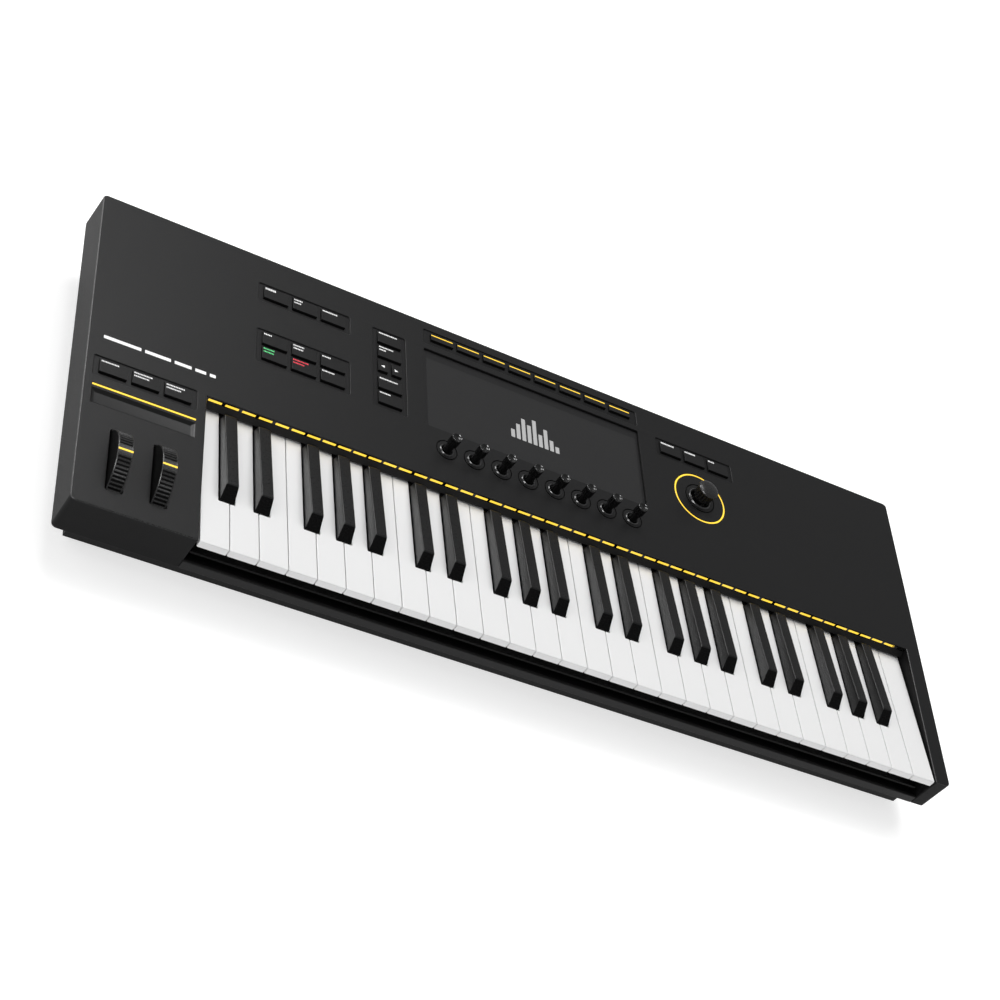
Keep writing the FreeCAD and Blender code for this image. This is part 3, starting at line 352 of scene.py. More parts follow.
def rounded(points, radii, steps=5):
    """The polygon's points, anticlockwise, with an arc at each corner that has a radius."""
    if not isinstance(radii, (list, tuple)):
        radii = [radii] * len(points)
    loop = []
    for index, (corner, radius) in enumerate(zip(points, radii)):
        corner = Vector(corner)
        if radius <= 0:
            loop.append(corner)
            continue
        before = (Vector(points[index - 1]) - corner).normalized()
        after = (Vector(points[(index + 1) % len(points)]) - corner).normalized()
        half = before.angle(after) / 2
        reach = radius / math.tan(half)
        centre = corner + (before + after).normalized() * (radius / math.sin(half))
        start = corner + before * reach - centre
        end = corner + after * reach - centre
        sweep = start.angle(end)
        for step in range(steps + 1):
            part = step / steps
            arm = (start * math.sin((1 - part) * sweep) + end * math.sin(part * sweep)) / math.sin(sweep)
            loop.append(centre + arm)
    return loop


def rect(x, y, width, depth, radius=0.0, steps=4):
    return rounded([(x, y), (x + width, y), (x + width, y + depth), (x, y + depth)], radius, steps)


def disc(x, y, radius, steps=48):
    turn = 2 * math.pi / steps
    return [Vector((x + radius * math.cos(turn * n), y + radius * math.sin(turn * n))) for n in range(steps)]


def inset(loop, distance):
    """The anticlockwise loop moved inwards by distance, or outwards if it is negative."""
    moved = []
    for index, point in enumerate(loop):
        first = (point - loop[index - 1]).normalized()
        second = (loop[(index + 1) % len(loop)] - point).normalized()
        normal_a = Vector((-first.y, first.x))
        normal_b = Vector((-second.y, second.x))
        moved.append(point + (normal_a + normal_b) * (distance / (1 + normal_a.dot(normal_b))))
    return moved


# ---- solids

def add_object(name, data):
    made = bpy.data.objects.new(name, data)
    bpy.context.scene.collection.objects.link(made)
    return made


class Solid:
    """A mesh of one or more closed shells. warp moves each point as it is made."""

    def __init__(self, warp=None):
        self.mesh = bmesh.new()
        self.warp = warp or (lambda x, y, z: (x, y, z))

    def ring(self, loop, height):
        """A ring of vertices over a plan loop; height is a number or a function of x and y."""
        level = height if callable(height) else lambda x, y: height
        return [self.mesh.verts.new(self.warp(p.x, p.y, level(p.x, p.y))) for p in loop]

    def bridge(self, first, second, look=0):
        """A band of faces between two rings of as many vertices."""
        for corners in zip(first, second, second[1:] + second[:1], first[1:] + first[:1]):
            self.mesh.faces.new(corners).material_index = look

    def fill(self, rings, look=0):
        """A flat face inside the first ring and outside the others."""
        flat = [vertex for ring in rings for vertex in ring]
        for corners in tessellate_polygon([[vertex.co for vertex in ring] for ring in rings]):
            if len(set(corners)) == 3:
                self.mesh.faces.new([flat[corner] for corner in corners]).material_index = look

    def skin(self, rings, look=0, end_look=None):
        """A closed shell: a band between each two rings, and a flat face in the first and in the last."""
        for first, second in zip(rings, rings[1:]):
            self.bridge(first, second, look)
        for ring in (rings[0], rings[-1]):
            self.fill([ring], look if end_look is None else end_look)

    def edge(self, loop, top, rim, side, look=0, steps=3):
        """Rounds the edge of a face: side 1 for a face inside the loop, -1 for one outside it."""
        level = top if callable(top) else lambda x, y: top
        rings = []
        for step in range(steps + 1):
            angle = math.pi / 2 * step / steps
            drop = rim * (1 - math.cos(angle))
            plan = inset(loop, side * rim * (1 - math.sin(angle)))
            rings.append(self.ring(plan, lambda x, y, d=drop: level(x, y) - d))
        for first, second in zip(rings, rings[1:]):
            self.bridge(first, second, look)
        return rings[0], rings[-1]

    def slab(self, loop, top, bottom, rim=0.3, look=0, steps=3):
        """A closed shell over a plan loop, with its upper edge rounded by rim."""
        face, wall = self.edge(loop, top, rim, 1, look, steps)
        self.fill([face], look)
        base = self.ring(loop, bottom)
        self.bridge(wall, base, look)
        self.fill([base], look)

    def lathe(self, x, y, profile, look=0, steps=40, closed=False, ripple=None):
        """Turns (radius, height) points about an upright axis; an open profile starts and ends on the axis."""
        rings = []
        for index, (radius, height) in enumerate(profile):
            if radius < 1e-6:
                rings.append([self.mesh.verts.new(self.warp(x, y, height))])
                continue
            ring = []
            for step in range(steps):
                angle = 2 * math.pi * step / steps
                reach = radius * (ripple(index, angle) if ripple else 1)
                point = self.warp(x + reach * math.cos(angle), y + reach * math.sin(angle), height)
                ring.append(self.mesh.verts.new(point))
            rings.append(ring)
        pairs = list(zip(rings, rings[1:]))
        if closed:
            pairs.append((rings[-1], rings[0]))
        looks = look if isinstance(look, (list, tuple)) else [look] * len(pairs)
        for (first, second), tint in zip(pairs, looks):
            if len(first) == 1 or len(second) == 1:
                point = first[0] if len(first) == 1 else second[0]
                around = second if len(first) == 1 else first
                for start, end in zip(around, around[1:] + around[:1]):
                    self.mesh.faces.new((point, start, end)).material_index = tint
            else:
                self.bridge(first, second, tint)

    def paint_front_shade(self, near, steep, since=0):
        """Gives the second look, a darker copy that paints shade, to the faces from since on that stand across Y and
        lie nearer than near.
        """
        self.mesh.faces.ensure_lookup_table()
        for face in self.mesh.faces[since:]:
            face.normal_update()
            if abs(face.normal.y) > steep and face.calc_center_median().y < near:
                face.material_index = 1

    def piece(self, name, body, looks, place=PANEL, stands_for=(), sharp=40.0):
        """Turns the shells into a piece that rides on a body."""
        bmesh.ops.recalc_face_normals(self.mesh, faces=self.mesh.faces)
        data = bpy.data.meshes.new(name)
        self.mesh.to_mesh(data)
        self.mesh.free()
        data.transform(place)
        data.shade_smooth()
        data.set_sharp_from_angle(angle=math.radians(sharp))
        made = add_object(name, data)
        for look in looks if isinstance(looks, (list, tuple)) else [looks]:
            data.materials.append(look)
        normals = made.modifiers.new("weighted_normals", "WEIGHTED_NORMAL")
        normals.keep_sharp = True
        normals.weight = 80
        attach(made, body)
        if stands_for:
            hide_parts(*stands_for)
        return made


# ---- where the controls are

def button_cells():
    """Each button opening: node, left edge, front edge, width and depth."""
    cells = []

    def row(names, centre, front):
        for number, name in enumerate(names):
            left = centre + BUTTON_PITCH * (number - 1) - BUTTON_WIDTH / 2
            cells.append((name, left, front, BUTTON_WIDTH, BUTTON_DEPTH))

    row([f"octave_button_{n}" for n in (1, 2, 3)], LEFT_GROUP, LEFT_ROW)
    row([f"edit_button_{n}" for n in (1, 2, 3)], EDIT_GROUP, UPPER_ROW)
    row([f"nav_button_{n}" for n in (1, 2, 3)], NAV_GROUP, UPPER_ROW)
    row(["transport_upper_buttons"] * 3, EDIT_GROUP, TRANSPORT_ROW)
    row(["transport_lower_buttons"] * 3, EDIT_GROUP, TRANSPORT_ROW - BUTTON_ROW)
    column = COLUMN_GROUP - BUTTON_WIDTH / 2
    far = column + BUTTON_WIDTH - SMALL_WIDTH
    for name, left, front, width in (
        ("column_upper_buttons", column, UPPER_ROW, BUTTON_WIDTH),
        ("column_upper_buttons", column, UPPER_ROW - BUTTON_ROW, BUTTON_WIDTH),
        ("column_arrow_buttons", column, ARROW_ROW, SMALL_WIDTH),
        ("column_arrow_buttons", far, ARROW_ROW, SMALL_WIDTH),
        ("column_lower_buttons", column, TRANSPORT_ROW, BUTTON_WIDTH),
        ("column_lower_buttons", column, TRANSPORT_ROW - BUTTON_ROW, BUTTON_WIDTH),
    ):
        cells.append((name, left, front, width, BUTTON_DEPTH))
    for number in range(8):
        left = DISPLAY_GROUP + BUTTON_PITCH * (number - 3.5) - BUTTON_WIDTH / 2
        cells.append(("display_buttons", left, SLIM_ROW, BUTTON_WIDTH, SLIM_DEPTH))
    return cells


def knob_centres():
    return [DISPLAY_GROUP + BUTTON_PITCH * (number - 3.5) for number in range(8)]


# ---- the case

def lean(x, y, z):
    """The back wall leans outwards below the panel."""
    if y > CASE_DEPTH - 10:
        y -= BACK_LEAN * z / SKIRT_BACK
    return x, y, z


def skirt_bottom(x, y):
    reach = max(0.0, min(1.0, y / (CASE_DEPTH + BACK_LEAN)))
    return -SKIRT_FRONT - (SKIRT_BACK - SKIRT_FRONT) * reach


def case_outline():
    corners = [
        (0, 0), (OPENING_LEFT, 0), (OPENING_LEFT, OPENING_BACK), (OPENING_RIGHT, OPENING_BACK),
        (OPENING_RIGHT, 0), (CASE_WIDTH, 0), (CASE_WIDTH, CASE_DEPTH), (0, CASE_DEPTH),
    ]
    return rounded(corners, [CORNER, CHEEK_CORNER, 0.5, 0.5, CHEEK_CORNER, CORNER, CORNER, CORNER])


def make_deck(solid):
    """The panel: its rounded outer edge, the wells, the grooves and every opening."""
    outline = case_outline()
    face, wall = solid.edge(outline, 0.0, EDGE_ROUND, 1, look=3)
    lip = solid.ring(outline, -EDGE_LIP)
    solid.bridge(wall, lip, 2)
    stepped = [Vector((p.x, p.y + REBATE)) if abs(p.y - OPENING_BACK) < 2 else p for p in outline]
    under = solid.ring(stepped, -EDGE_LIP)
    solid.bridge(lip, under)
    base = solid.ring(stepped, -PANEL_THICK)
    solid.bridge(under, base, 2)
    top_holes = []
    low_holes = []

    def through(loop, top, rim=0.15, relief=0.0):
        """An opening right through the panel; relief lengthens its lower part along the panel."""
        first, last = solid.edge(loop, top, rim, -1, steps=2)
        if relief:
            middle = sum(p.y for p in loop) / len(loop)
            mouth = solid.ring(loop, -1.0)
            solid.bridge(last, mouth)
            loop = [Vector((p.x, p.y + math.copysign(relief, p.y - middle))) for p in loop]
            last = solid.ring(loop, -1.0)
            solid.bridge(mouth, last)
        bottom = solid.ring(loop, -PANEL_THICK)
        solid.bridge(last, bottom)
        low_holes.append(bottom)
        return first

    def groove(x, y, outer, inner, depth, steps, centre_hole):
        """A round groove; what it surrounds is filled at panel level, less its own opening."""
        outer_face, outer_wall = solid.edge(disc(x, y, outer, steps), 0.0, 0.15, -1, steps=2)
        island_face, island_wall = solid.edge(disc(x, y, inner, steps), 0.0, 0.15, 1, steps=2)
        outer_floor = solid.ring(disc(x, y, outer, steps), -depth)
        island_floor = solid.ring(disc(x, y, inner, steps), -depth)
        # The groove's walls and floor take look 4, a near-black painted shade in the recess.
        solid.bridge(outer_wall, outer_floor, 4)
        solid.bridge(island_wall, island_floor, 4)
        solid.bridge(outer_floor, island_floor, 4)
        solid.fill([island_face, centre_hole])
        return outer_face

    def well(x, y, width, depth):
        """A sunk field of the panel, with an opening for each button that lies in it."""
        loop = rect(x, y, width, depth, 1.5)
        first, last = solid.edge(loop, 0.0, WELL_RIM, -1)
        floor = solid.ring(loop, -WELL_DEPTH)
        solid.bridge(last, floor)
        inner = [
            through(rect(left, front, wide, deep, 0.5), -WELL_DEPTH)
            for _, left, front, wide, deep in button_cells()
            if x < left < x + width and y < front < y + depth
        ]
        solid.fill([floor] + inner, 1)
        return first

    half = WELL_WIDTH / 2
    for place in (
        (LEFT_GROUP - half, LEFT_ROW - WELL_MARGIN, WELL_WIDTH, WELL_HEIGHT),
        (EDIT_GROUP - half, UPPER_ROW - WELL_MARGIN, WELL_WIDTH, WELL_HEIGHT),
        (NAV_GROUP - half, UPPER_ROW - WELL_MARGIN, WELL_WIDTH, WELL_HEIGHT),
        (EDIT_GROUP - half, TRANSPORT_ROW - BUTTON_ROW - WELL_MARGIN, WELL_WIDTH, WELL_HEIGHT + BUTTON_ROW),
        (COLUMN_GROUP - COLUMN_WELL_WIDTH / 2, COLUMN_WELL_FRONT, COLUMN_WELL_WIDTH, COLUMN_WELL_HEIGHT),
        (DISPLAY_GROUP - DISPLAY_WIDTH / 2, SLIM_WELL_FRONT, DISPLAY_WIDTH, SLIM_WELL_HEIGHT),
    ):
        top_holes.append(well(*place))
    for x in knob_centres():
        bore = through(disc(x, KNOB_ROW, COLLAR_RADIUS + 0.05, 40), 0.0, rim=0.1)
        top_holes.append(groove(x, KNOB_ROW, KNOB_GROOVE, KNOB_GROOVE - GROOVE_WIDTH, GROOVE_DEPTH, 48, bore))
    window = rect(DISPLAY_GROUP - DISPLAY_WIDTH / 2, DISPLAY_FRONT, DISPLAY_WIDTH, DISPLAY_HEIGHT, 1.2)
    top_holes.append(through(window, 0.0, rim=0.45))
    for front, deep in ((STRIP_ROW, STRIP_DEPTH), (LINE_ROW, LINE_DEPTH)):
        slot = rect(STRIP_CENTRE - STRIP_WIDTH / 2, front, STRIP_WIDTH, deep, 0.35)
        top_holes.append(through(slot, 0.0, rim=0.25))
    for centre in WHEELS.values():
        slot = rect(centre - SLOT_WIDTH / 2, WHEEL_Y - SLOT_LENGTH / 2, SLOT_WIDTH, SLOT_LENGTH, 1.6)
        top_holes.append(through(slot, 0.0, rim=0.35, relief=4.0))

    bore = through(disc(NAV_GROUP, NAV_ROW, NAV_COLLAR + 0.05, 64), 0.0, rim=0.1)
    inner = groove(NAV_GROUP, NAV_ROW, NAV_GROOVE, NAV_GROOVE - GROOVE_WIDTH, GROOVE_DEPTH, 64, bore)
    half = RING_WIDTH / 2
    top_holes.append(groove(NAV_GROUP, NAV_ROW, RING_RADIUS + half, RING_RADIUS - half, RING_DEPTH, 96, inner))
    solid.fill([face] + top_holes)
    solid.fill([base] + low_holes)


def make_skirts(solid):
    """The walls under the panel, each a closed shell that starts at the panel's underside."""
    back_in = CASE_DEPTH - WALL
    inner_left = OPENING_LEFT - WALL
    inner_right = OPENING_RIGHT + WALL
    side_in = CASE_WIDTH - WALL
    left = rounded(
        [(OPENING_LEFT, CHEEK_WALL_END), (inner_left, CHEEK_WALL_END), (inner_left, WALL), (WALL, WALL),
         (WALL, back_in), (SOCKET_WALL_LEFT, back_in), (SOCKET_WALL_LEFT, CASE_DEPTH), (0, CASE_DEPTH), (0, 0),
         (OPENING_LEFT, 0)],
        [0, 0, 1.5, 1.5, 1.5, 0, 0, CORNER, CORNER, CHEEK_CORNER],
    )
    right = rounded(
        [(SOCKET_WALL_RIGHT, CASE_DEPTH), (SOCKET_WALL_RIGHT, back_in), (side_in, back_in), (side_in, WALL),
         (inner_right, WALL), (inner_right, CHEEK_WALL_END), (OPENING_RIGHT, CHEEK_WALL_END), (OPENING_RIGHT, 0),
         (CASE_WIDTH, 0), (CASE_WIDTH, CASE_DEPTH)],
        [0, 0, 1.5, 1.5, 1.5, 0, 0, CHEEK_CORNER, CORNER, CORNER],
    )
    for loop in (left, right):
        rings = [solid.ring(loop, -PANEL_THICK)]
        for pull, rise in ((0.0, 0.7), (0.2, 0.2), (0.7, 0.0)):
            rings.append(solid.ring(inset(loop, pull), lambda x, y, r=rise: skirt_bottom(x, y) + r))
        solid.skin(rings, 2)


def make_back_wall(solid):
    """The part of the back wall with the socket openings, made flat and stood up by its warp."""
    outer = rect(SOCKET_WALL_LEFT, -SKIRT_BACK, SOCKET_WALL_RIGHT - SOCKET_WALL_LEFT, SKIRT_BACK - PANEL_THICK)
    holes = [disc(x, -SOCKET_DROP, JACK_HOLE, 36) for x in JACK_PLACES]
    holes += [disc(x, -SOCKET_DROP, DIN_HOLE, 44) for x in DIN_PLACES]
    holes.append(rect(USB_PLACE - USB_WIDTH / 2, -SOCKET_DROP - USB_HEIGHT / 2, USB_WIDTH, USB_HEIGHT, 0.6))
    front = solid.ring(outer, 0.0)
    back = solid.ring(outer, -WALL)
    solid.bridge(front, back, 2)
    faces = []
    backs = []
    for hole in holes:
        first, last = solid.edge(hole, 0.0, 0.3, -1, look=2)
        bottom = solid.ring(hole, -WALL)
        solid.bridge(last, bottom, 2)
        faces.append(first)
        backs.append(bottom)
    solid.fill([front] + faces, 2)
    solid.fill([back] + backs, 2)


def stand_up(x, y, z):
    """The back wall's plan coordinates are across and up; its height runs outwards."""
    return x, CASE_DEPTH - BACK_LEAN * y / SKIRT_BACK + z, y


def make_top_case():
    deck = Solid(lean)
    make_deck(deck)
    make_skirts(deck)
    deck.warp = stand_up
    make_back_wall(deck)
    deck.piece("top_case_shell", "housing", [CASE, WELL, SIDE, EDGE, SHADE], stands_for=["top_case"])


def prism(solid, side, bevel=0.4):
    """A bar across the key opening with the given side profile, (y, z) anticlockwise seen from +X."""
    left = OPENING_LEFT + BAR_CLEAR
    right = OPENING_RIGHT - BAR_CLEAR
    loop = [Vector(p) for p in side]
    rings = []
    for x, pull in ((left, bevel), (left + bevel, 0.0), (right - bevel, 0.0), (right, bevel)):
        rings.append([solid.mesh.verts.new((x, p.x, p.y)) for p in inset(loop, pull)])
    solid.skin(rings)


def make_front_rail():
    low = -SKIRT_FRONT
    top = low + RAIL_HEIGHT
    rail = Solid()
    prism(rail, rounded([(0, low), (WALL, low), (WALL, top), (0, top)], [0.5, 0, 0.4, 0.8], 4))
    rail.piece("front_rail_bar", "housing", RAIL, stands_for=["front_rail"])


def make_key_lights():
    """The strip behind the keys: a dark bar, 49 lit windows and a dark one at its right end."""
    face = OPENING_BACK + LIGHT_BAR_SETBACK
    back = face + LIGHT_BAR_DEPTH
    bar = Solid()
    side = [(face, LIGHT_BAR_LOW), (back, LIGHT_BAR_LOW), (back, LIGHT_BAR_TOP), (face, LIGHT_BAR_TOP)]
    prism(bar, rounded(side, 0.15, 2), 0.1)
    bar.piece("light_strip_bar", "housing", LAMP_OFF, stands_for=["key_light_strip"])
    lower_pitch = KEY_PITCH * 3 / 5
    upper_pitch = KEY_PITCH * 4 / 7
    centres = []
    for octave in range(OCTAVES):
        start = KEY_LEFT + OCTAVE * octave
        centres += [start + lower_pitch * (n + 0.5) for n in range(5)]
        centres += [start + KEY_PITCH * 3 + upper_pitch * (n + 0.5) for n in range(7)]
    centres.append(KEY_LEFT + OCTAVE * OCTAVES + lower_pitch * 0.5)

    def windows(name, look, places, width):
        """Lenses set on the strip's face."""
        solid = Solid(lambda x, y, z: (x, face - z, y))
        for place in places:
            loop = rect(place - width / 2, WINDOW_ROW - LAMP_HEIGHT / 2, width, LAMP_HEIGHT, 0.45, 3)
            solid.slab(loop, 0.10, -0.3, rim=0.08, steps=2)
        solid.piece(name, "housing", look)

    windows("key_lights", LAMP, centres, LIT_WIDTH)
    windows("key_light_dark", LAMP_OFF, [KEY_LEFT + DARK_PLACE], DARK_WIDTH)
    fascia = Solid()
    foot = OPENING_BACK - FASCIA_REACH
    side = [(foot, FASCIA_LOW), (back, FASCIA_LOW), (back, FASCIA_TOP), (OPENING_BACK, FASCIA_TOP)]
    prism(fascia, rounded(side, [0.4, 0, 0, 0.3], 3), 0.1)
    fascia.piece("fascia_slope", "housing", FASCIA, stands_for=["key_fascia"])


# ---- the keys

def white_outline(name):
    """The plan of one white key, with the notches for its black neighbours."""
    near = KEY_CLEAR
    far = KEY_PITCH - KEY_CLEAR
    left = right = 0.0
    if name in WHITE_NAMES:
        edge = KEY_PITCH * WHITE_NAMES.index(name)
        for centre in BLACK_CENTRES.values():
            if abs(centre - edge) < 7:
                left = centre + BLACK_NOTCH / 2 - edge
            if abs(centre - edge - KEY_PITCH) < 7:
                right = edge + KEY_PITCH - (centre - BLACK_NOTCH / 2)
    corners = [(near, 0, 0.9), (far, 0, 0.9)]
    if right:
        inner = KEY_PITCH - right
        corners += [(far, BLACK_START, 0.6), (inner, BLACK_START, 0.6), (inner, KEY_LENGTH, 0.3)]
    else:
        corners.append((far, KEY_LENGTH, 0.3))
    if left:
        corners += [(left, KEY_LENGTH, 0.3), (left, BLACK_START, 0.6), (near, BLACK_START, 0.6)]
    else:
        corners.append((near, KEY_LENGTH, 0.3))
    return rounded([corner[:2] for corner in corners], [corner[2] for corner in corners], 4)


def make_white_keys():
    for number, name in enumerate(WHITE_NAMES):
        solid = Solid()
        places = [(name, KEY_PITCH * number + OCTAVE * octave) for octave in range(OCTAVES)]
        if name == "c":
            places.append(("top", OCTAVE * OCTAVES))
        for shape, left in places:
            loop = [Vector((p.x + left, p.y)) for p in white_outline(shape)]
            solid.slab(loop, 0.0, -KEY_THICK, rim=0.55, steps=4)
        solid.piece(f"{name}_white_keys", f"{name}_keys", IVORY, KEYS, [f"{name}_keys"])


def black_section(y):
    """The height of a black key at y: a short slope at its front, then a slow fall to its rear."""
    along = y - BLACK_FRONT
    for (a, low), (b, high) in zip(BLACK_SLOPE, BLACK_SLOPE[1:]):
        if along <= b:
            return low + (high - low) * max(0.0, (along - a) / (b - a))
    crest = BLACK_SLOPE[-1][0]
    return BLACK_HEIGHT + (BLACK_END_HEIGHT - BLACK_HEIGHT) * (along - crest) / (BLACK_END - BLACK_FRONT - crest)


def make_black_keys():
    front = [(0.0, 0.55), (0.15, 0.25)]
    front += [(along, 0.0) for along in (0.45, 2.5, 5.0, 8.0, 8.3, 8.7, 9.3, 11.5, 40.0)]
    rear = [(2.5, 0.0, 0.0), (1.6, 0.05, 0.25), (0.8, 0.2, 0.8), (0.25, 0.5, 1.7), (0.0, 0.9, 2.9)]
    stations = [(BLACK_FRONT + along, pull, 0.0) for along, pull in front]
    stations += [(BLACK_END - short, pull, drop) for short, pull, drop in rear]
    for name, centre in BLACK_CENTRES.items():
        solid = Solid()
        for octave in range(OCTAVES):
            middle = centre + OCTAVE * octave
            rings = []
            for y, pull, drop in stations:
                height = max(0.6, black_section(y) - drop)
                half = BLACK_HALF - pull
                foot = min(1.0, height - 0.3)
                share = (height - foot) / (BLACK_HEIGHT - 1.0)
                top = half - (BLACK_HALF - BLACK_TOP_HALF) * max(0.0, share)
                round_off = min(0.7, (height - foot) * 0.8 + 0.1, top * 0.5)
                points = [(half, -1.0), (half, foot)]
                for step in range(5):
                    angle = math.pi / 2 * step / 4
                    x = top - round_off * (1 - math.cos(angle))
                    points.append((x, height - round_off * (1 - math.sin(angle))))
                points.append((0.0, height + 0.06))
                profile = points + [(-x, z) for x, z in reversed(points[:-1])]
                rings.append([solid.mesh.verts.new((middle + x, y, z)) for x, z in profile])
            solid.skin(rings)
            tail = rect(middle - BLACK_HALF, BLACK_FRONT, BLACK_HALF * 2, KEY_LENGTH - BLACK_FRONT, 0.3, 2)
            solid.slab(tail, -0.01, -KEY_THICK, rim=0.2, steps=2)
        # The front slope takes the second look, a darker copy of the key plastic: painted shade.
        solid.paint_front_shade(BLACK_FRONT + 8.1, 0.6)
        keys = f"{name}_keys"
        solid.piece(f"{name}_black_keys", keys, [EBONY, EBONY_PAINTED_SHADE], KEYS, [keys], sharp=50)


# ---- the buttons

def cap_top(front, depth):
    """The height of a cap's top: it rises from the panel at its rear to its front edge."""
    near = front + CAP_FRONT_GAP
    far = front + depth - CAP_GAP
    return lambda x, y: CAP_RAISE * max(0.0, min(1.0, (far - y) / (far - near)))


def printed(solid, loop, look, level=lambda x, y: 0.0):
    """A mark of ink over a plan loop: a thin slab on the surface at level."""
    solid.slab(loop, lambda x, y: level(x, y) + PRINT_RISE, lambda x, y: level(x, y) - PRINT_SINK, 0.03, look, 1)


def dashes(solid, left, middle, length, height, level, look):
    """A row of short raised blocks, standing for a printed label."""
    x = left
    while x < left + length - 0.5:
        width = min(DRAW.uniform(0.55, 1.15), left + length - x)
        loop = rect(x, middle - height * 0.4, width, height * 0.8, min(0.2, width / 3), 2)
        printed(solid, loop, look, level)
        x += width + 0.38


# Label lines on each cap: the line's middle, from the cap's rear, its length and its height.
LABELS = {
    "octave_button_1": [[(1.9, 13.7, 1.9)]],
    "octave_button_2": [[(1.9, 14.8, 1.9), (5.2, 11.8, 1.9)]],
    "octave_button_3": [[(1.9, 14.9, 1.9), (5.2, 12.2, 1.9)]],
    "edit_button_1": [[(2.0, 9.3, 3.2)]],
    "edit_button_2": [[(1.9, 7.5, 2.0), (5.4, 6.7, 2.0)]],
    "edit_button_3": [[(1.9, 13.3, 2.0)]],
    "nav_button_1": [[(1.9, 14.0, 2.2)]],
    "nav_button_2": [[(1.9, 11.5, 2.2)]],
    "nav_button_3": [[(1.9, 7.0, 2.2)]],
    "transport_upper_buttons": [[(1.9, 7.2, 2.0)], [(1.9, 10.0, 2.0), (5.4, 8.5, 2.0)], [(1.9, 7.5, 2.0)]],
    "transport_lower_buttons": [[(1.7, 9.3, 2.0), (5.2, 9.3, 2.0)], [(1.7, 13.7, 2.0), (5.2, 10.5, 2.0)],
                                [(1.7, 11.0, 2.0)]],
    "column_upper_buttons": [[(1.9, 17.0, 2.0)], [(1.9, 13.0, 2.0), (5.4, 6.0, 2.0)]],
    "column_lower_buttons": [[(1.9, 17.0, 2.0)], [(1.7, 10.5, 2.0)]],
}
# Looks of the caps with a coloured label; the others are white, look 2.
INKS = {("transport_lower_buttons", 0): 3, ("transport_lower_buttons", 1): 4}


def arrow_mark(solid, x, y, point, level):
    """A small triangle that points left or right."""
    corners = [(x - 1.7 * point, y - 1.5), (x + 1.7 * point, y), (x - 1.7 * point, y + 1.5)]
    printed(solid, [Vector(corner) for corner in corners[::point]], 2, level)


def make_buttons():
    groups = {}
    for cell in button_cells():
        groups.setdefault(cell[0], []).append(cell[1:])
    for name, cells in groups.items():
        solid = Solid()
        for number, (left, front, width, depth) in enumerate(cells):
            level = cap_top(front, depth)
            near = front + CAP_FRONT_GAP
            loop = rect(left + CAP_GAP, near, width - CAP_GAP * 2, depth - CAP_FRONT_GAP - CAP_GAP, 0.45)
            before = len(solid.mesh.faces)
            solid.slab(loop, level, -CAP_BOTTOM, rim=0.22)
            # The cap's front face takes the second look, a near-black painted shade.
            solid.paint_front_shade(near + 0.3, 0.8, before)
            ink = INKS.get((name, number), 2)
            for back, length, height in LABELS.get(name, [[]] * 8)[number]:
                dashes(solid, left + LABEL_INSET, front + depth - back, length, height, level, ink)
            if name == "column_arrow_buttons":
                arrow_mark(solid, left + width / 2 - 0.4, front + depth - 7.6, -1 if number == 0 else 1, level)
        solid.piece(f"{name}_caps", name, [CAP, SHADE, WHITE_PRINT_PAINTED_GLOW, GREEN_PRINT_PAINTED_GLOW, RED_PRINT_PAINTED_GLOW], PANEL, [name])
    lines = Solid()
    for left, front, width, depth in groups["display_buttons"]:
        level = cap_top(front, depth)
        side = (BUTTON_WIDTH - SLIM_LINE_WIDTH) / 2
        loop = rect(left + side, SLIM_LINE_FRONT, SLIM_LINE_WIDTH, SLIM_LINE_DEPTH, 0.3, 3)
        lines.slab(loop, lambda x, y: level(x, y) + 0.08, lambda x, y: level(x, y) - 0.2, rim=0.05, steps=2)
    lines.piece("display_button_lines", "display_buttons", LAMP)


def make_stripe():
    """A plain printed stripe on the panel's left, in blocks that get shorter to the right."""
    stripe = Solid()
    x = STRIPE_LEFT
    for width in STRIPE_BLOCKS:
        printed(stripe, rect(x, STRIPE_ROW, width, STRIPE_HEIGHT, 0.5, 3), 0)
        x += width + STRIPE_GAP
    stripe.piece("panel_stripe", "housing", WHITE_PRINT_PAINTED_GLOW)


# ---- the display

def make_display():
    left = DISPLAY_GROUP - DISPLAY_WIDTH / 2
    top = -DISPLAY_DROP
    glass = Solid()
    loop = rect(left + 0.2, DISPLAY_FRONT + 0.2, DISPLAY_WIDTH - 0.4, DISPLAY_HEIGHT - 0.4, 1.0)
    glass.slab(loop, top, top - GLASS_THICK, rim=0.15)
    glass.piece("display_cover_glass", "housing", GLASS, PANEL, ["display_glass"])
    screen = Solid()
    loop = rect(left + SCREEN_SIDE, DISPLAY_FRONT + SCREEN_FRONT, DISPLAY_WIDTH - SCREEN_SIDE * 2, SCREEN_HEIGHT, 0.6)
    screen.slab(loop, top + 0.03, top - 0.3, rim=0.02, steps=1)
    screen.piece("display_screen", "housing", SCREEN)
    levels = Solid()
    for number, height in enumerate(LEVEL_HEIGHTS):
        x = LEVEL_CENTRE + LEVEL_PITCH * (number - (len(LEVEL_HEIGHTS) - 1) / 2) - LEVEL_WIDTH / 2
        levels.slab(rect(x, LEVEL_FRONT, LEVEL_WIDTH, height, 0.4, 2), top + 0.06, top - 0.2, rim=0.02, steps=1)
    levels.piece("display_levels", "housing", LEVELS)


# ---- the knobs

def fluted(flutes, depth):
    """How far a grip's flutes cut in: rounded ribs with sharp valleys, on the profile points of the grip."""
    def ripple(index, angle):
        if index not in GRIP_POINTS:
            return 1.0
        return 1.0 - depth * (1 - abs(math.sin(flutes * angle / 2))) ** 0.8
    return ripple


